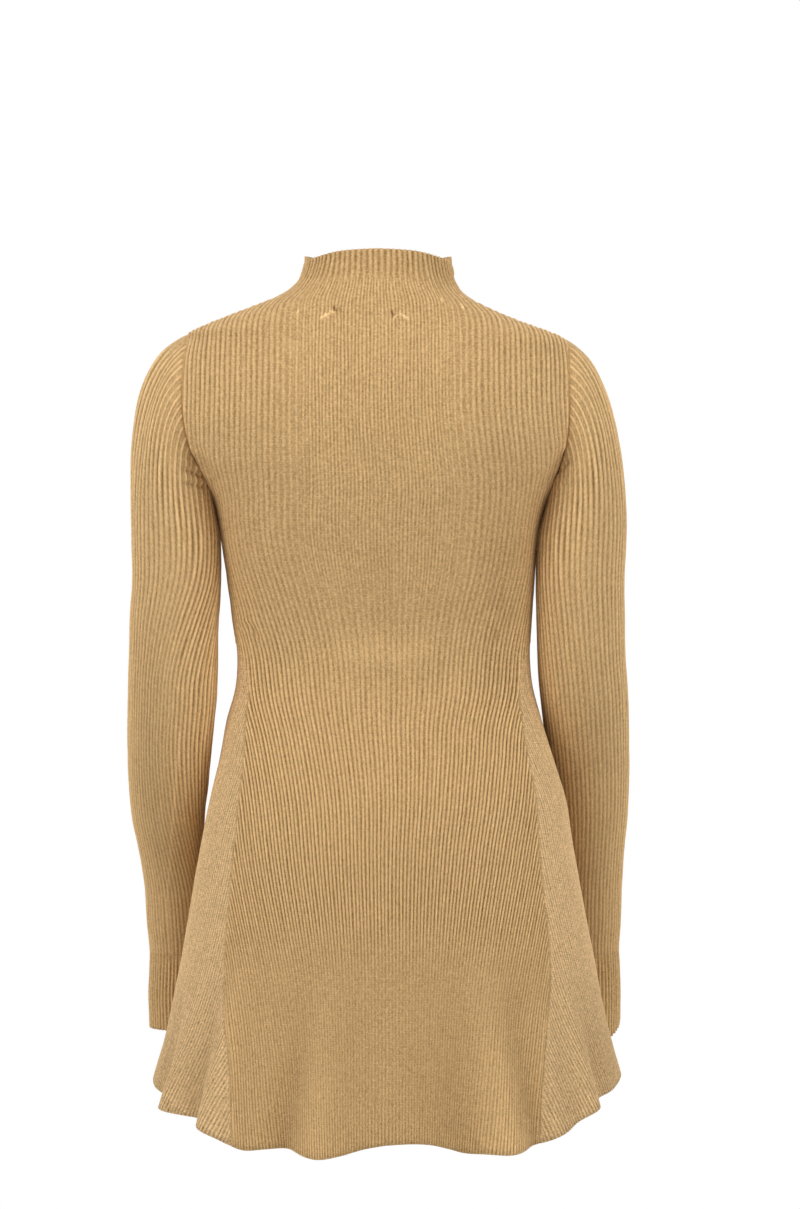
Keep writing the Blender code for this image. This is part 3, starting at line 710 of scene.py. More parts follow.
def panel_numbers(centre, offsets, level):
    """Rib numbers across the back or front.  Below the yoke a number is the arc over the pitch, with
    ribs crowded towards the sides.  Over the yoke ribs stand straight up but for their shift towards
    the neck: a rib at x has the number that the yoke has at x plus the shift.  The body leans, and
    the ribs don't lean with it."""
    reach = np.linspace(-QUARTER_TURN, QUARTER_TURN, FINE_STEPS)
    below = min(level, YOKE)
    across = arc_from(centre, reach, below)
    numbers = across / smooth(RIB_PITCH, PITCH_COLUMNS, "pitch", below)
    numbers = crowded(numbers, smooth(CROWD_SHARE, CROWD_COLUMNS, "share", below))
    leaning = smooth(LEAN_RIBS, LEAN_COLUMNS, "ribs", below)
    numbers = numbers + np.sign(across) * leaning * ease(np.abs(across), LEAN_FROM, LEAN_FULLY)
    if level > YOKE:
        share = np.abs(np.sin(reach)) ** (2.0 / SQUARENESS)
        shifts = [smooth(NECK_SHIFT, NECK_COLUMNS, name, level) for name in NECK_COLUMNS[1:-1]]
        curve = np.stack((SHIFT_SHARES, shifts), -1)
        shift = smooth(curve, ("share", "shift"), "shift", share)
        x = share * body_section("half_width", level) + shift
        lean = np.cos(centre) * (body_section("lean", level) - body_section("lean", YOKE))
        x = np.sign(reach) * x + lean
        sine = np.clip(np.abs(x) / body_section("half_width", YOKE), 0.0, 1.0) ** (SQUARENESS / 2.0)
        numbers = np.interp(np.sign(x) * np.arcsin(sine), reach, numbers)
        arc = arc_from(centre, reach, level)
        extra = smooth(NECK_SHIFT, NECK_COLUMNS, "extra_ribs", level)
        numbers = numbers + np.sign(arc) * extra * ease(np.abs(arc) / arc[-1], RIDGE_SHARE, 1.0)
    return np.interp(offsets, reach, numbers)


def gore_numbers(centre, offsets, level):
    """Rib numbers across a gore: even steps from the line down its middle."""
    return arc_from(centre, offsets, level) / GORE_RIB_PITCH


def armhole_offset(front, level):
    """The angle of the armhole seam from the centre of the back or front."""
    rise = np.clip((level - ARMHOLE_MIDDLE) / ARMHOLE_HALF_HEIGHT, -1.0, 1.0)
    away = ARMHOLE_HALF_DEPTH * np.sqrt(1.0 - rise ** 2)
    depth = np.where(front, body_section("front", level), body_section("back", level))
    return np.arccos((away / depth) ** (SQUARENESS / 2.0))


def panel_reach(centre, level):
    """How far round the back or front reaches from its centre: to the side, an armhole or a gore."""
    if level >= ARMHOLE_TOP or ARMHOLE_BOTTOM >= level > GORE_TOP:
        return QUARTER_TURN
    if level > GORE_TOP:
        return float(armhole_offset(centre > QUARTER_TURN, level))
    return float(np.radians(smooth(GORE_SEAM, GORE_COLUMNS, "angle", level)))


def gore_reach(centre, level):
    """How far round a gore reaches from its middle: as far as the back and the front leave it."""
    return QUARTER_TURN - panel_reach(centre, level)


# ---------------------------------------------------------------------------------------------
# Ribs, seams and creases.
def rib_shape(number, stretch):
    """Rib height from 0 to 1: a round crest on each whole number, cos(RIB_NARROWING pi phase) to the
    power RIB_ROUNDING.  Stretched cloth has a narrow crest instead and a thread almost as high
    halfway, (1 + cos(4 pi phase)) / 2 times 1 - THREAD_DROP (1 - cos(2 pi phase))."""
    phase = np.abs(number - np.round(number))
    crest = np.clip(np.cos(RIB_NARROWING * np.pi * phase), 0.0, 1.0) ** RIB_ROUNDING
    threads = 0.5 + 0.5 * np.cos(4.0 * np.pi * phase)
    threads = threads * (1.0 - THREAD_DROP * (1.0 - np.cos(2.0 * np.pi * phase)))
    return crest + stretch * (threads - crest)


def rib_waves(rib, height, waves):
    """What makes a rib irregular down its length: the sum of size * sin(height / length + start * rib)."""
    return sum(size * np.sin(height / length + start * rib) for size, length, start in waves)


def seam_roll(distance, dip):
    """The roll of cloth on each side of a seam: a bell at SEAM_ROLL_AWAY from it."""
    return SEAM_ROLL * dip * bell(distance - SEAM_ROLL_AWAY, SEAM_ROLL_WIDTH)


def rib_fade(distance, full):
    """Ribs begin a share RIB_START of the way from a seam to where they have their full height."""
    return ease(distance, RIB_START * full, full)


def crease_push(points, normals, creases):
    """How far creases push the cloth out: each is a bell across its line and past both its ends, on
    the side of the dress that it is on."""
    push = np.zeros(points.shape[:-1])
    for facing, x0, z0, x1, z1, width, depth in creases:
        length = np.hypot(x1 - x0, z1 - z0)
        right, up = points[..., 0] - x0, points[..., 2] - z0
        along = (right * (x1 - x0) + up * (z1 - z0)) / length
        across = (right * (z1 - z0) - up * (x1 - x0)) / length
        past = np.clip(np.abs(along - length / 2.0) - length / 2.0, 0.0, None)
        seen = np.clip(CREASE_FACING * facing * normals[..., 1], 0.0, 1.0)
        push += depth * seen * bell(across, width) * bell(past, CREASE_END * width)
    return push


def drawn_in(points, normals):
    """Where a tack draws the cloth in, each point moves a share of the way to it, less further off."""
    moved = points.copy()
    for x, z, around, share in PUCKERS:
        right, up = points[..., 0] - x, points[..., 2] - z
        near = share * bell(np.hypot(right, up), around) * (normals[..., 1] > 0.0)
        moved[..., 0] -= near * right
        moved[..., 2] -= PUCKER_UP_SHARE * near * up
    return moved


def armhole_distance(points):
    """Roughly how far a point lies outside the nearest armhole's oval, in the y-z plane."""
    oval = np.hypot(points[..., 1] / ARMHOLE_HALF_DEPTH,
                    (points[..., 2] - ARMHOLE_MIDDLE) / ARMHOLE_HALF_HEIGHT)
    return np.where(np.abs(points[..., 0]) > ARMHOLE_NEAR, (oval - 1.0) * ARMHOLE_MEAN_RADIUS, FAR_AWAY)


# ---------------------------------------------------------------------------------------------
# Meshes.
def make_piece(name, points, corner_vertex, quads, is_rim, uv, marks):
    """A closed mesh from a grid.  quads holds four corner numbers each, corner_vertex turns a corner
    into its vertex, and uv is by corner.  Quads are cut into triangles and empty ones are dropped.
    Rims are shaded flat, so that the cloth beside a seam isn't darkened by them."""
    corners = np.concatenate((quads[:, (0, 1, 2)], quads[:, (0, 2, 3)]))
    vertices = corner_vertex[corners]
    solid = (vertices != np.roll(vertices, 1, axis=1)).all(axis=1)
    corners, vertices, is_rim = corners[solid], vertices[solid], np.tile(is_rim, 2)[solid]
    used, flat = np.unique(vertices, return_inverse=True)
    vertices = flat.reshape(vertices.shape)
    points = points[used] * MILLIMETRE
    a, b, c = points[vertices[:, 0]], points[vertices[:, 1]], points[vertices[:, 2]]
    if np.einsum("ij,ij->i", a, np.cross(b, c)).sum() < 0.0:
        vertices, corners = vertices[:, ::-1], corners[:, ::-1]
    count = len(vertices)
    mesh = bpy.data.meshes.new(name)
    mesh.vertices.add(len(points))
    mesh.vertices.foreach_set("co", points.ravel())
    mesh.loops.add(3 * count)
    mesh.loops.foreach_set("vertex_index", np.ascontiguousarray(vertices).ravel())
    mesh.polygons.add(count)
    mesh.polygons.foreach_set("loop_start", np.arange(0, 3 * count, 3))
    mesh.polygons.foreach_set("use_smooth", ~is_rim)
    mesh.update(calc_edges=True)
    layer = mesh.uv_layers.new(name="knit")
    layer.data.foreach_set("uv", uv[corners.ravel()].ravel())
    for mark, values in marks.items():
        attribute = mesh.attributes.new(mark, "FLOAT", "POINT")
        attribute.data.foreach_set("value", np.ascontiguousarray(values[used]))
    piece = bpy.data.objects.new(name, mesh)
    bpy.context.scene.collection.objects.link(piece)
    return piece


def wall_quads(outer, inner, is_tube):
    """The quads of a closed wall from two grids of corner numbers, and which of them are its rims."""
    def sheet_of(grid):
        return np.stack((grid[:-1, :-1], grid[:-1, 1:], grid[1:, 1:], grid[1:, :-1]), -1).reshape(-1, 4)

    def strip(first, second):
        return np.stack((first[:-1], first[1:], second[1:], second[:-1]), -1)

    sides = np.concatenate((sheet_of(outer), sheet_of(inner)[:, ::-1]))
    rims = [strip(outer[0], inner[0])[:, ::-1], strip(outer[-1], inner[-1])]
    if not is_tube:
        rims += [strip(outer[:, 0], inner[:, 0]), strip(outer[:, -1], inner[:, -1])[:, ::-1]]
    quads = np.concatenate((sides, *rims))
    return quads, np.arange(len(quads)) >= len(sides)


def snap_rows(count):
    """Each row's nearest kept row on the plain inside; the first and the last are kept."""
    rows = np.minimum(np.round(np.arange(count) / INSIDE_ROWS).astype(int) * INSIDE_ROWS, count - 1)
    rows[-1] = count - 1
    return rows


def snap_columns(columns):
    """Each column's nearest kept column on the plain inside."""
    return np.round(columns / INSIDE_COLUMNS).astype(int) * INSIDE_COLUMNS


def make_wall(name, outside, inside, outer_column, inner_column, place, down, marks, is_tube):
    """A closed wall of cloth from two grids of points.  A corner's vertex stands in its own row, or in
    the nearest kept row on the plain inside, and in the column that outer_column or inner_column
    gives it.  The uv is the place among the ribs and down / COURSE, and each mark keeps its share
    INSIDE_MARKS on the inside."""
    rows, columns = place.shape
    row_start = columns * np.arange(rows)[:, None]
    outer_vertex = row_start + outer_column
    inner_vertex = rows * columns + (row_start + inner_column)[snap_rows(rows)]
    corner_vertex = np.concatenate((outer_vertex.ravel(), inner_vertex.ravel()))
    corner = np.arange(rows * columns).reshape(rows, columns)
    quads, is_rim = wall_quads(corner, corner + rows * columns, is_tube)
    points = np.concatenate((outside.reshape(-1, 3), inside.reshape(-1, 3)))
    uv = np.stack((place, down / COURSE), -1).reshape(-1, 2)
    marks = {mark: np.concatenate((values.ravel(), INSIDE_MARKS[mark] * values.ravel()))
             for mark, values in marks.items()}
    return make_piece(name, points, corner_vertex, quads, is_rim, np.tile(uv, (2, 1)), marks)


# ---------------------------------------------------------------------------------------------
# The back, the front and the gores.
def panel_grid(centre, levels, reach_of, numbers_of):
    """A grid whose columns run along the ribs, RIB_COLUMNS to each, so that a row has as many as its
    width holds; columns past an edge lie on it.  Gives each point's angle, rib number and share of
    the way to the side edge, squared, and its columns outside and inside."""
    offsets, numbers = [], []
    for level in levels:
        reach = reach_of(centre, level)
        offsets.append(np.linspace(-reach, reach, FINE_STEPS))
        numbers.append(numbers_of(centre, offsets[-1], level))
    low = np.array([row[0] for row in numbers])[:, None]
    high = np.array([row[-1] for row in numbers])[:, None]
    first = np.ceil(low * RIB_COLUMNS + EDGE_SPACE).astype(int) - 1
    last = np.floor(high * RIB_COLUMNS - EDGE_SPACE).astype(int) + 1
    column = np.clip(np.arange(first.min(), last.max() + 1), first, last)
    number = np.where(column == first, low, np.where(column == last, high, column / RIB_COLUMNS))
    angle = centre + np.array([np.interp(n, row, offset)
                               for n, row, offset in zip(number, numbers, offsets)])
    side = np.clip(number / np.where(number > 0.0, high, low), 0.0, 1.0) ** 2
    inner = np.clip(snap_columns(column), first, last)
    inner = np.where(column == first, first, np.where(column == last, last, inner))
    return angle, number, side, column - first.min(), inner - first.min()


def panel_shade(centre, side, level, swell):
    """Painted shade on the back and front: darker in the middle of the lower skirt and in its
    troughs, and painted light beside the armholes."""
    return (SKIRT_SHADE * (1.0 - side) * ease(-level, *SKIRT_SHADED) - PANEL_FOLD_SHADE * swell
            - YOKE_SIDE_LIGHT * side * within(-level, *YOKE_SIDE_LIT))


def gore_shade(centre, side, level, swell):
    """Painted shade and light on a gore: darker towards the hem and paler over the hip."""
    hip_light = GORE_HIP_LIGHT[0] if centre > 0.0 else GORE_HIP_LIGHT[1]
    over_hip = bell(level - GORE_HIP, GORE_HIP_REACH)
    return GORE_HEM_SHADE * ease(-level, *GORE_HEM_SHADED) - hip_light * over_hip


def make_panel(name, centre, levels, reach_of, numbers_of, relief_table, shade_of):
    """The back, the front or a gore: the body's form pushed out by ribs, seams, creases and loops,
    and inside it the same form less the wall.  Each rib's end stands a little past the edge."""
    angle, number, side, outer_column, inner_column = panel_grid(centre, levels, reach_of, numbers_of)
    level = np.array(levels)[:, None] + 0.0 * angle
    base, normal = body_point(angle, level), body_normal(angle, level)
    to_side = np.minimum(np.linalg.norm(base - base[:, :1], axis=-1),
                         np.linalg.norm(base - base[:, -1:], axis=-1))
    seam = np.clip(np.minimum(to_side, armhole_distance(base)), 0.0, None)
    by_gore = ease(-level, -GORE_TOP - GORE_BLEND, -GORE_TOP + GORE_BLEND)
    by_armhole = ebb(np.abs(level - ARMHOLE_MIDDLE), ARMHOLE_HALF_HEIGHT,
                     ARMHOLE_HALF_HEIGHT + ARMHOLE_BLEND)
    dip = SIDE_DIP + by_gore * (GORE_DIP - SIDE_DIP) + by_armhole * (ARMHOLE_DIP - SIDE_DIP)
    groove = dip * bell(seam, SEAM_DIP_WIDTH)
    chain = bell(seam - CHAIN_AWAY, CHAIN_WIDTH)
    stretch = within(-level, *STRETCHED_DEPTHS) * ebb(np.abs(number), *STRETCHED_RIBS)
    swell = fold_swell(angle, level)

    rib = np.round(number)
    place = number - rib_waves(rib, level, WANDER_WAVES)
    ribs = rib_shape(place, stretch)
    middle_relief = smooth(relief_table, RELIEF_COLUMNS, "middle", level)
    side_relief = smooth(relief_table, RELIEF_COLUMNS, "side", level)
    relief = middle_relief + side * (side_relief - middle_relief)
    relief = relief * (1.0 + rib_waves(rib, level, STRENGTH_WAVES))
    relief = relief * rib_fade(seam, SEAM_FADE + by_gore * (GORE_FADE - SEAM_FADE))
    relief = relief * (1.0 + STRETCH_GAIN * stretch) * (1.0 + FOLD_RELIEF * np.clip(swell, 0.0, None))

    creases = crease_push(base, normal, BODY_CREASES)
    pits = crease_push(base, normal, PITS)
    # loops: raised cloth that is also painted paler, as painted highlights.
    loops = crease_push(base, normal, HIGHLIGHTED_RAISES)
    push = (relief * ribs + seam_roll(seam, dip) - groove + by_gore * CHAIN_HEIGHT * chain
            + creases + pits + loops)
    outside = drawn_in(base + normal * push[..., None], normal)
    inside = base - normal * WALL
    scallop = ribs * (COLLAR_SCALLOP * bell(level - COLLAR_TOP, SCALLOP_REACH)
                      - HEM_SCALLOP * bell(level - HEM, SCALLOP_REACH))
    outside[..., 2] += scallop
    inside[..., 2] += scallop

    # Painted highlights on the stitches along a gore's ridge and beside an armhole.
    bead_highlights = BEAD_LIGHT * (0.5 + 0.5 * np.cos(2.0 * np.pi * level / BEAD_SPACE))
    bead_highlights = bead_highlights * (by_gore + ARMHOLE_BEADS * by_armhole) * chain
    # Painted shade and light: darker in grooves, pits, creases, troughs and on the neck; paler on ridges.
    shade = ((SEAM_SHADE + by_armhole * (ARMHOLE_SHADE - SEAM_SHADE)) * groove - PIT_SHADE * pits
             - CREASE_SHADE * np.minimum(creases + SHALLOW_CREASE, 0.0) - FOLD_SHADE * swell
             + NECK_SHADE * ease(level, *NECK_SHADED) + shade_of(centre, side, level, swell))
    marks = {"rise": relief, "seam": shade, "painted_highlight": loops + bead_highlights, "stretch": stretch}
    return make_wall(name, outside, inside, outer_column, inner_column, place, -level, marks, False)


def rows_between(stops, end):
    """Levels of rows from each stop to the next and on to the end, in even steps."""
    ends = [top for top, count in stops[1:]] + [end]
    return np.concatenate([np.linspace(top, bottom, count, endpoint=False)
                           for (top, count), bottom in zip(stops, ends)])


def gore_levels():
    """Rows below the gores' tops: closest at the top, where the seam sweeps out."""
    return np.append(rows_between(GORE_ROWS, HEM), HEM)


def body_levels():
    """Rows of the back and front: closest over the shoulders and where a seam is nearly level."""
    turns = np.linspace(0.0, np.pi, ARMHOLE_ROWS, endpoint=False)
    return np.concatenate((
        rows_between(SHOULDER_ROWS, ARMHOLE_TOP),
        ARMHOLE_MIDDLE + ARMHOLE_HALF_HEIGHT * np.cos(turns),
        rows_between(WAIST_ROWS, GORE_TOP),
        gore_levels(),
    ))


# ---------------------------------------------------------------------------------------------
# Sleeves and cuffs.
def arm_point(arm, around, height):
    """The outside of a sleeve or cuff under its ribs, below the armhole: an ellipse about its axis."""
    x = smooth(ARM_SECTIONS, ARM_COLUMNS, arm.name + "_x", height)
    y = smooth(ARM_SECTIONS, ARM_COLUMNS, arm.name + "_y", height)
    half_width = smooth(ARM_SECTIONS, ARM_COLUMNS, "half_width", height)
    half_depth = smooth(ARM_SECTIONS, ARM_COLUMNS, "half_depth", height)
    return np.stack((arm.side * (x + half_width * np.cos(around)), y + half_depth * np.sin(around),
                     height + 0.0 * around), -1)


def armhole_point(arm, around):
    """A point on the armhole's edge and the direction out of the body there.  The back half is the
    first half turn, top to bottom."""
    turn = around % (2.0 * np.pi)
    front = turn > np.pi
    level = ARMHOLE_MIDDLE + ARMHOLE_HALF_HEIGHT * np.cos(turn)
    offset = armhole_offset(front, level)
    angle = arm.side * np.where(front, np.pi - offset, offset)
    return body_point(angle, level), body_normal(angle, level)


def cap_point(arm, around, along):
    """The cap of a sleeve: a cubic from the armhole seam, leaving along its heading, to the top of
    the arm, arriving straight down.  The heading is outwards at the top and drops under the arm,
    and it droops by shares set at the top, halfway round, and at the back and front."""
    start = armhole_point(arm, around)[0]
    outerness = (1.0 + np.cos(around)) / 2.0
    outward = outerness - UNDERARM_INWARD * (1.0 - outerness) ** UNDERARM_POWER
    at_back = np.abs(np.sin(around))
    droop = arm.top_droop + (CAP_DROOP - arm.top_droop) * ease(at_back, 0.0, CAP_HALFWAY)
    droop = droop + (CAP_BACK_DROOP - CAP_DROOP) * ease(at_back, CAP_HALFWAY, 1.0)
    heading = np.stack((arm.side * outward, CAP_FULLNESS * np.sin(around),
                        outerness - 1.0 - droop * np.clip(outward, 0.0, 1.0)), -1)
    heading /= np.linalg.norm(heading, axis=-1, keepdims=True)
    from_top = np.sin(around / 2.0)
    start[..., 2] += arm.top_lift * bell(from_top, TOP_LIFT_REACH)
    end = arm_point(arm, around, CAP_END + 0.0 * around)
    downward = arm_point(arm, around, CAP_END - LEVEL_NUDGE + 0.0 * around) - end
    downward /= np.linalg.norm(downward, axis=-1, keepdims=True)
    pull = CAP_PULL * np.linalg.norm(end - start, axis=-1, keepdims=True)
    pull = pull * (1.0 + arm.top_pull * bell(from_top, TOP_PULL_REACH))[..., None]
    t = along[..., None]
    return (start * (1 - t) ** 2 * (1 + 2 * t) + end * t ** 2 * (3 - 2 * t)
            + heading * pull * t * (1 - t) ** 2 - downward * pull * t ** 2 * (1 - t))


def tube_normal(point, arm, around, place, step):
    """The direction out of a sleeve or cuff: slope_normal, turned away from the middle of its rows."""
    normal = slope_normal(lambda turn, far: point(arm, turn, far), around, place, ANGLE_NUDGE, step)
    base = point(arm, around, place)
    outward = np.sum(normal * (base - base.mean(axis=1, keepdims=True)), axis=(1, 2), keepdims=True)
    return normal * np.sign(outward)


def make_tube(name, number, travel, base, normal, push, relief, stretch, shade, drop=0.0, scallop=0.0):
    """A sleeve or cuff from a grid of rows down the arm and columns once round it.  travel is the
    distance down the arm, push moves the outside, and drop moves both sides down."""
    rib = np.round(number) % SLEEVE_RIBS
    place = number - rib_waves(rib, travel, WANDER_WAVES)
    relief = relief * (1.0 + rib_waves(rib, travel, STRENGTH_WAVES))
    ribs = rib_shape(place, stretch)
    outside = base + normal * (relief * ribs)[..., None] + push
    inside = base - normal * WALL
    outside[..., 2] -= drop + scallop * ribs
    inside[..., 2] -= drop + scallop * ribs
    column = np.arange(number.shape[1])
    once_round = number.shape[1] - 1
    # The forearm's raised chain of stitches is painted paler, as a painted highlight.
    chain = crease_push(base, normal, FOREARM_CHAIN)
    marks = {"rise": relief, "seam": shade, "painted_highlight": chain, "stretch": stretch}
    return make_wall(name, outside, inside, column % once_round, snap_columns(column) % once_round,
                     place, travel, marks, True)


def make_sleeve(arm):
    """A sleeve: its cap, then the arm.  At the armhole it dips along the body's own outward
    direction, to meet its edge.  Above the elbow its inner ribs swing outwards, by twist
    (1 - cos(turn)) / 2, and below it back, and they stand higher there."""
    along = np.concatenate(((CAP_TUCK,), np.linspace(0.0, 1.0, CAP_ROWS, endpoint=False) ** CAP_CROWDING))
    heights = np.append(np.linspace(CAP_END, SLEEVE_END + RIM_SPACE, ARM_ROWS), SLEEVE_END)
    cap_around, cap_along = np.broadcast_arrays(ONCE_ROUND[None, :], along[:, None])
    cap = cap_point(arm, cap_around, cap_along)
    cap_normal = tube_normal(cap_point, arm, cap_around, np.clip(cap_along, ALONG_NUDGE, None), ALONG_NUDGE)
    swing = arm.twist * within(-heights, *ELBOW_SWING)
    arm_around = ONCE_ROUND - swing[:, None] * (0.5 - 0.5 * np.cos(ONCE_ROUND))
    arm_height = heights[:, None] + 0.0 * arm_around
    arm_normal = tube_normal(arm_point, arm, arm_around, arm_height, LEVEL_NUDGE)
    base = np.concatenate((cap, arm_point(arm, arm_around, arm_height)))
    normal = np.concatenate((cap_normal, arm_normal))
    around = np.concatenate((cap_around, arm_around))
    depth = -base[..., 2]
    steps = np.cumsum(np.linalg.norm(np.diff(base, axis=0), axis=-1), axis=0)
    travel = np.concatenate((0.0 * steps[:1], steps)) - steps[:1]
    to_end = travel[-1:] - travel

    towards_out = np.clip(np.cos(around), 0.0, 1.0)
    towards_in = np.clip(-np.cos(around), 0.0, 1.0)
    sideways = np.abs(np.sin(around))
    relief = (SLEEVE_RELIEF + OUTER_RELIEF * np.maximum(towards_out ** 2, ebb(travel, *CAP_OUTER_ENDS))
              - FOREARM_LOSS * ease(depth, *FOREARM_LOST) + CAP_RELIEF * ebb(travel, *CAP_RELIEF_ENDS)
              + arm.elbow_relief * within(depth, *ELBOW_RAISED) * towards_in)
    at_top = ebb(travel, *TOP_FLAT_ENDS) * ebb(sideways, *TOP_FLAT_SIDES) * (towards_out > 0.0)
    relief = relief * rib_fade(travel, SEAM_FADE) * (1.0 - TOP_FLATNESS * at_top)
    stretch = CAP_THREADS * ebb(travel, *CAP_THREADS_END) * sideways

    out_of_body = armhole_point(arm, cap_around[1:2])[1]
    groove = ARMHOLE_DIP * bell(travel, SEAM_DIP_WIDTH)
    sink = groove + 0.0
    sink[0] += CAP_TUCK_DIP
    cuff_groove = CUFF_DIP * bell(to_end, SEAM_DIP_WIDTH)
    creases = crease_push(base, normal, arm.creases)
    rise = seam_roll(travel, ARMHOLE_DIP) - cuff_groove + creases
    push = normal * rise[..., None] - out_of_body * sink[..., None]
    number = ONCE_ROUND / (2.0 * np.pi) * SLEEVE_RIBS + 0.0 * around
    # Painted shade and light: paler in the armhole seam's dip, darker in the cuff seam's groove and creases.
    shade = ARMHOLE_SHADE * groove + cuff_groove - SLEEVE_CREASE_SHADE * np.minimum(creases, 0.0)
    return make_tube("sleeve_" + arm.name + "_knit", number, travel, base, normal, push, relief,
                     stretch, shade)


def make_cuff(arm):
    """A cuff.  Its end is cut on a slant: it drops by cuff_slant times the sine of the turn from
    cuff_turn, times the square of the share of the way down."""
    heights = np.append(SLEEVE_END, np.linspace(SLEEVE_END - RIM_SPACE, CUFF_END, CUFF_ROWS))
    around, heights = np.broadcast_arrays(ONCE_ROUND[None, :], heights[:, None])
    base = arm_point(arm, around, heights)
    normal = tube_normal(arm_point, arm, around, heights, LEVEL_NUDGE)
    number = around / (2.0 * np.pi) * SLEEVE_RIBS
    travel = SLEEVE_END - base[..., 2]
    seam_relief = CUFF_SEAM_RELIEF + CUFF_OUTER_RELIEF * np.clip(np.cos(around), 0.0, 1.0) ** 2
    relief = seam_relief + (CUFF_RELIEF - seam_relief) * ease(travel, 0.0, CUFF_BLEND)
    scallop = CUFF_SCALLOP * bell(heights - CUFF_END, SCALLOP_REACH)
    groove = CUFF_DIP * bell(travel, SEAM_DIP_WIDTH)
    drop = arm.cuff_slant * np.sin(around - np.radians(arm.cuff_turn)) * (travel / travel[-1, 0]) ** 2
    # The groove at the seam is also painted darker, as painted shade.
    return make_tube("cuff_" + arm.name + "_knit", number, travel, base, normal, -normal * groove[..., None],
                     relief, 0.0 * travel, groove, drop, scallop)


# ---------------------------------------------------------------------------------------------
# Materials.
class Wire:
    """A socket in a material.  Arithmetic on wires and numbers adds Math nodes."""

    def __init__(self, nodes, socket):
        self.nodes = nodes
        self.socket = socket

    def math(self, operation, *values):
        return self.nodes.add("ShaderNodeMath", {"operation": operation}, dict(enumerate(values)))

    def __add__(self, other):
        return self.math("ADD", self, other)

    def __radd__(self, other):
        return self.math("ADD", other, self)

    def __sub__(self, other):
        return self.math("SUBTRACT", self, other)

    def __rsub__(self, other):
        return self.math("SUBTRACT", other, self)

    def __mul__(self, other):
        return self.math("MULTIPLY", self, other)

    def __rmul__(self, other):
        return self.math("MULTIPLY", other, self)

    def __pow__(self, other):
        return self.math("POWER", self, other)

    def cosine(self):
        return self.math("COSINE", self)

    def sine(self):
        return self.math("SINE", self)

    def size(self):
        return self.math("ABSOLUTE", self)

    def whole(self):
        return self.math("ROUND", self)


class Nodes:
    """The nodes of a material or world, with the one way to add to them."""

    def __init__(self, owner):
        owner.use_nodes = True
        self.owner = owner
        self.tree = owner.node_tree

    def connect(self, node, sockets):
        """Link a node's sockets to wires, or set them to values."""
        for key, value in sockets.items():
            if isinstance(value, Wire):
                self.tree.links.new(value.socket, node.inputs[key])
            else:
                node.inputs[key].default_value = value

    def add(self, kind, settings, sockets, output=0):
        """A new node of a kind, its settings set first, as a wire from one of its outputs."""
        node = self.tree.nodes.new(kind)
        for key, value in settings.items():
            setattr(node, key, value)
        self.connect(node, sockets)
        return Wire(self, node.outputs[output])

    def place(self):
        """Object coordinates."""
        return self.add("ShaderNodeTexCoord", {}, {}, "Object")

    def noise(self, place, scale, detail, roughness):
        """Noise from 0 to 1, scale times to a metre."""
        return self.add("ShaderNodeTexNoise", {}, {"Vector": place, "Scale": scale, "Detail": detail,
                                                   "Roughness": roughness})

    def surface(self, sockets):
        """Set the surface's own sockets and give back the finished material."""
        self.connect(self.tree.nodes["Principled BSDF"], sockets)
        return self.owner


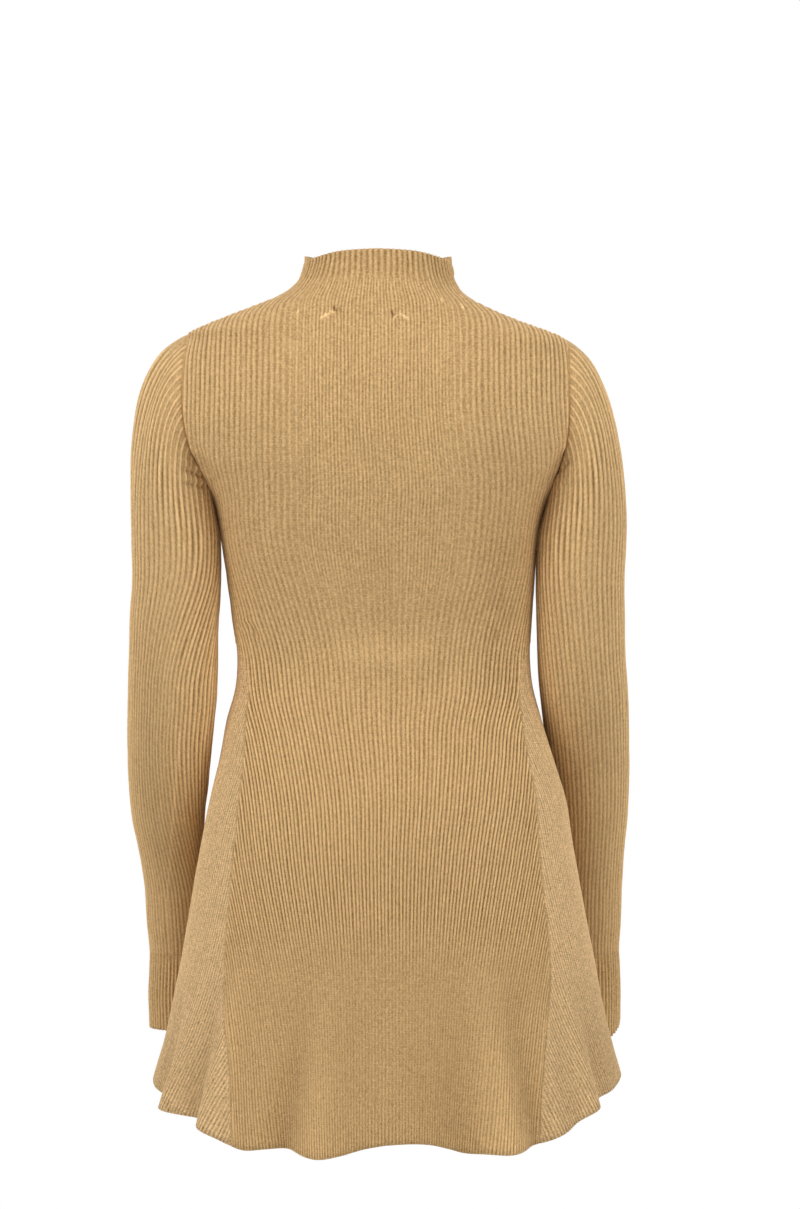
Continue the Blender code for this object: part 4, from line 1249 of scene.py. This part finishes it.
def knit(name, colours, mean_light, depth, grain, rows, stitch_bump, nap_bump):
    """Rib knitting.  The uv counts ribs across and rows of stitches down.  The colour runs from the
    first of colours to the second about mean_light.  It is painted darker by depth in the valley
    beside a rib's crest, as painted shade, by (0.5 - 0.5 cos)^VALLEY_POWER of the place across the
    rib, and it varies by grain from one stitch to another and by rows down a stitch.  Stretched cloth
    has two painted valleys to a rib.  The seam mark adds broad painted shade and light, and the third
    mark painted highlights.
    Stitches are v-shaped: their bump is a wave of the row plus the distance from the stitch's
    middle.  Fine noise gives a nap and a heathered yarn."""
    nodes = Nodes(bpy.data.materials.new(name))
    uv = nodes.add("ShaderNodeUVMap", {"uv_map": "knit"}, {})
    across = nodes.add("ShaderNodeSeparateXYZ", {}, {0: uv}, "X")
    down = nodes.add("ShaderNodeSeparateXYZ", {}, {0: uv}, "Y")
    rise, seam, painted_highlight, stretch = (nodes.add("ShaderNodeAttribute", {"attribute_name": mark}, {}, "Fac")
                                 for mark in INSIDE_MARKS)
    place = nodes.place()
    valley = (0.5 - 0.5 * (across * (2.0 * np.pi)).cosine()) ** VALLEY_POWER
    two_valleys = STRETCHED_VALLEY * (0.5 - 0.5 * (across * (4.0 * np.pi)).cosine())
    valley = valley + stretch * (two_valleys - valley)
    wale = across * WALES_PER_RIB
    stitch = down + STITCH_SLANT * (wale - wale.whole()).size()
    stitches = 0.5 + 0.5 * (stitch * (2.0 * np.pi)).sine()
    cell = nodes.add("ShaderNodeCombineXYZ", {}, {0: wale.whole(), 1: (stitch - STITCH_START).whole()})
    tone = nodes.add("ShaderNodeTexWhiteNoise", {"noise_dimensions": "2D"}, {"Vector": cell})
    nap = nodes.noise(place, *NAP)
    heather = nodes.noise(place, *HEATHER)
    # Painted shade in the valleys and from the seam mark, painted light from it and the highlight mark.
    light = mean_light - depth * rise * (valley - VALLEY_MEAN) - PAINTED_SHADE_SCALE * seam + LOOP_LIGHT * painted_highlight
    light = light + grain * (tone + NAP_GRAIN * nap + HEATHER_GRAIN * heather - GRAIN_MEAN)
    light = light + rows * (stitches - 0.5) + PATCH_LIGHT * (nodes.noise(place, *PATCHES) - 0.5)
    paint = nodes.add("ShaderNodeMix", {"data_type": "RGBA", "clamp_factor": False},
                      {0: light, 6: colours[0], 7: colours[1]}, 2)
    height = stitch_bump * stitches + nap_bump * nap + nap_bump * HEATHER_BUMP * heather
    bump = nodes.add("ShaderNodeBump", {}, {"Strength": 1.0, "Distance": MILLIMETRE, "Height": height})
    return nodes.surface({"Base Color": paint, "Normal": bump, "Roughness": 0.9, "Metallic": 0.0,
                          "Sheen Weight": 0.10, "Sheen Roughness": 0.5,
                          "Sheen Tint": (1.0, 0.86, 0.62, 1.0), "Specular IOR Level": 0.15})


def pale_floor():
    """Pale grey, a little uneven."""
    nodes = Nodes(bpy.data.materials.new("floor_paint"))
    shade = FLOOR_SHADE + FLOOR_UNEVEN * nodes.noise(nodes.place(), *FLOOR_NOISE)
    paint = nodes.add("ShaderNodeVectorMath", {"operation": "SCALE"}, {0: FLOOR_GREY, "Scale": shade})
    return nodes.surface({"Base Color": paint, "Roughness": 0.8})


# ---------------------------------------------------------------------------------------------
# The studio.
def make_camera():
    """A camera that looks along -Y, level, with VIEW_HEIGHT in view at the origin's distance."""
    data = bpy.data.cameras.new("camera")
    data.sensor_fit = "VERTICAL"
    data.sensor_width = data.sensor_height = SENSOR
    data.lens = SENSOR * CAMERA_DISTANCE / VIEW_HEIGHT
    data.clip_end = CAMERA_SIGHT
    camera = bpy.data.objects.new("camera", data)
    camera.location = Vector((CAMERA_X, CAMERA_DISTANCE, CAMERA_HEIGHT)) * MILLIMETRE
    camera.rotation_euler = (QUARTER_TURN, 0.0, np.pi)
    bpy.context.scene.collection.objects.link(camera)
    bpy.context.scene.camera = camera


def make_lights():
    """Square soft boxes, each turned to AIM."""
    for name, place, size, watts in LIGHTS:
        data = bpy.data.lights.new(name, "AREA")
        data.size = size
        data.energy = watts
        light = bpy.data.objects.new(name, data)
        light.location = place
        light.rotation_euler = (AIM - Vector(place)).to_track_quat("-Z", "Y").to_euler()
        bpy.context.scene.collection.objects.link(light)


def make_world():
    """Soft white light from all round, and plain white behind all that the camera sees."""
    world = bpy.data.worlds.new("studio_white")
    nodes = Nodes(world)
    sky = nodes.tree.nodes["Background"]
    nodes.connect(sky, {"Color": WHITE, "Strength": SKY_LIGHT})
    shown = nodes.add("ShaderNodeBackground", {}, {"Color": WHITE, "Strength": 1.0})
    seen = nodes.add("ShaderNodeLightPath", {}, {}, "Is Camera Ray")
    mix = nodes.add("ShaderNodeMixShader", {}, {0: seen, 1: Wire(nodes, sky.outputs[0]), 2: shown})
    nodes.connect(nodes.tree.nodes["World Output"], {"Surface": mix})
    bpy.context.scene.world = world
    bpy.context.scene.view_settings.view_transform = "Standard"


def make_floor():
    """A disc: one round face."""
    turn = np.linspace(0.0, 2.0 * np.pi, FLOOR_SIDES, endpoint=False)
    points = np.stack((FLOOR_RADIUS * np.cos(turn), FLOOR_RADIUS * np.sin(turn),
                       FLOOR_HEIGHT + 0.0 * turn), -1)
    mesh = bpy.data.meshes.new("floor")
    mesh.from_pydata(points.tolist(), [], [range(FLOOR_SIDES)])
    mesh.materials.append(pale_floor())
    floor = bpy.data.objects.new("floor", mesh)
    bpy.context.scene.collection.objects.link(floor)


# ---------------------------------------------------------------------------------------------
make_camera()
make_lights()
make_world()
make_floor()

knits = {row[0]: knit(*row) for row in KNITS}

back = make_panel("back_knit", 0.0, body_levels(), panel_reach, panel_numbers, RELIEF, panel_shade)
front = make_panel("front_knit", np.pi, body_levels(), panel_reach, panel_numbers, RELIEF, panel_shade)
gore_left = make_panel("gore_left_knit", QUARTER_TURN, gore_levels(), gore_reach, gore_numbers,
                       GORE_RELIEF, gore_shade)
gore_right = make_panel("gore_right_knit", -QUARTER_TURN, gore_levels(), gore_reach, gore_numbers,
                        GORE_RELIEF, gore_shade)
sleeve_left, sleeve_right = make_sleeve(LEFT_ARM), make_sleeve(RIGHT_ARM)
cuff_left, cuff_right = make_cuff(LEFT_ARM), make_cuff(RIGHT_ARM)

TRUNK = ("back_knit", "front_knit")
PIECES = (
    # piece, solid, material and slot, flat width and length in metres, flat area, what it hangs from
    (back,         "back",         "rib_knit",    (0.414, 0.808), 0.255,  ("front_knit",)),
    (front,        "front",        "rib_knit",    (0.439, 0.786), 0.264,  ("back_knit",)),
    (gore_left,    "gore_left",    "fine_knit",   (0.360, 0.403), 0.073,  TRUNK),
    (gore_right,   "gore_right",   "fine_knit",   (0.360, 0.403), 0.073,  TRUNK),
    (sleeve_left,  "sleeve_left",  "sleeve_knit", (0.301, 0.601), 0.121,  TRUNK),
    (sleeve_right, "sleeve_right", "sleeve_knit", (0.301, 0.601), 0.121,  TRUNK),
    (cuff_left,    "cuff_left",    "cuff_knit",   (0.172, 0.076), 0.0126, ("sleeve_left_knit",)),
    (cuff_right,   "cuff_right",   "cuff_knit",   (0.172, 0.076), 0.0126, ("sleeve_right_knit",)),
)
for piece, node, slot, flat, area, hangs_from in PIECES:
    piece.data.materials.append(knits[slot])
    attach(piece, "root")
    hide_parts(node)
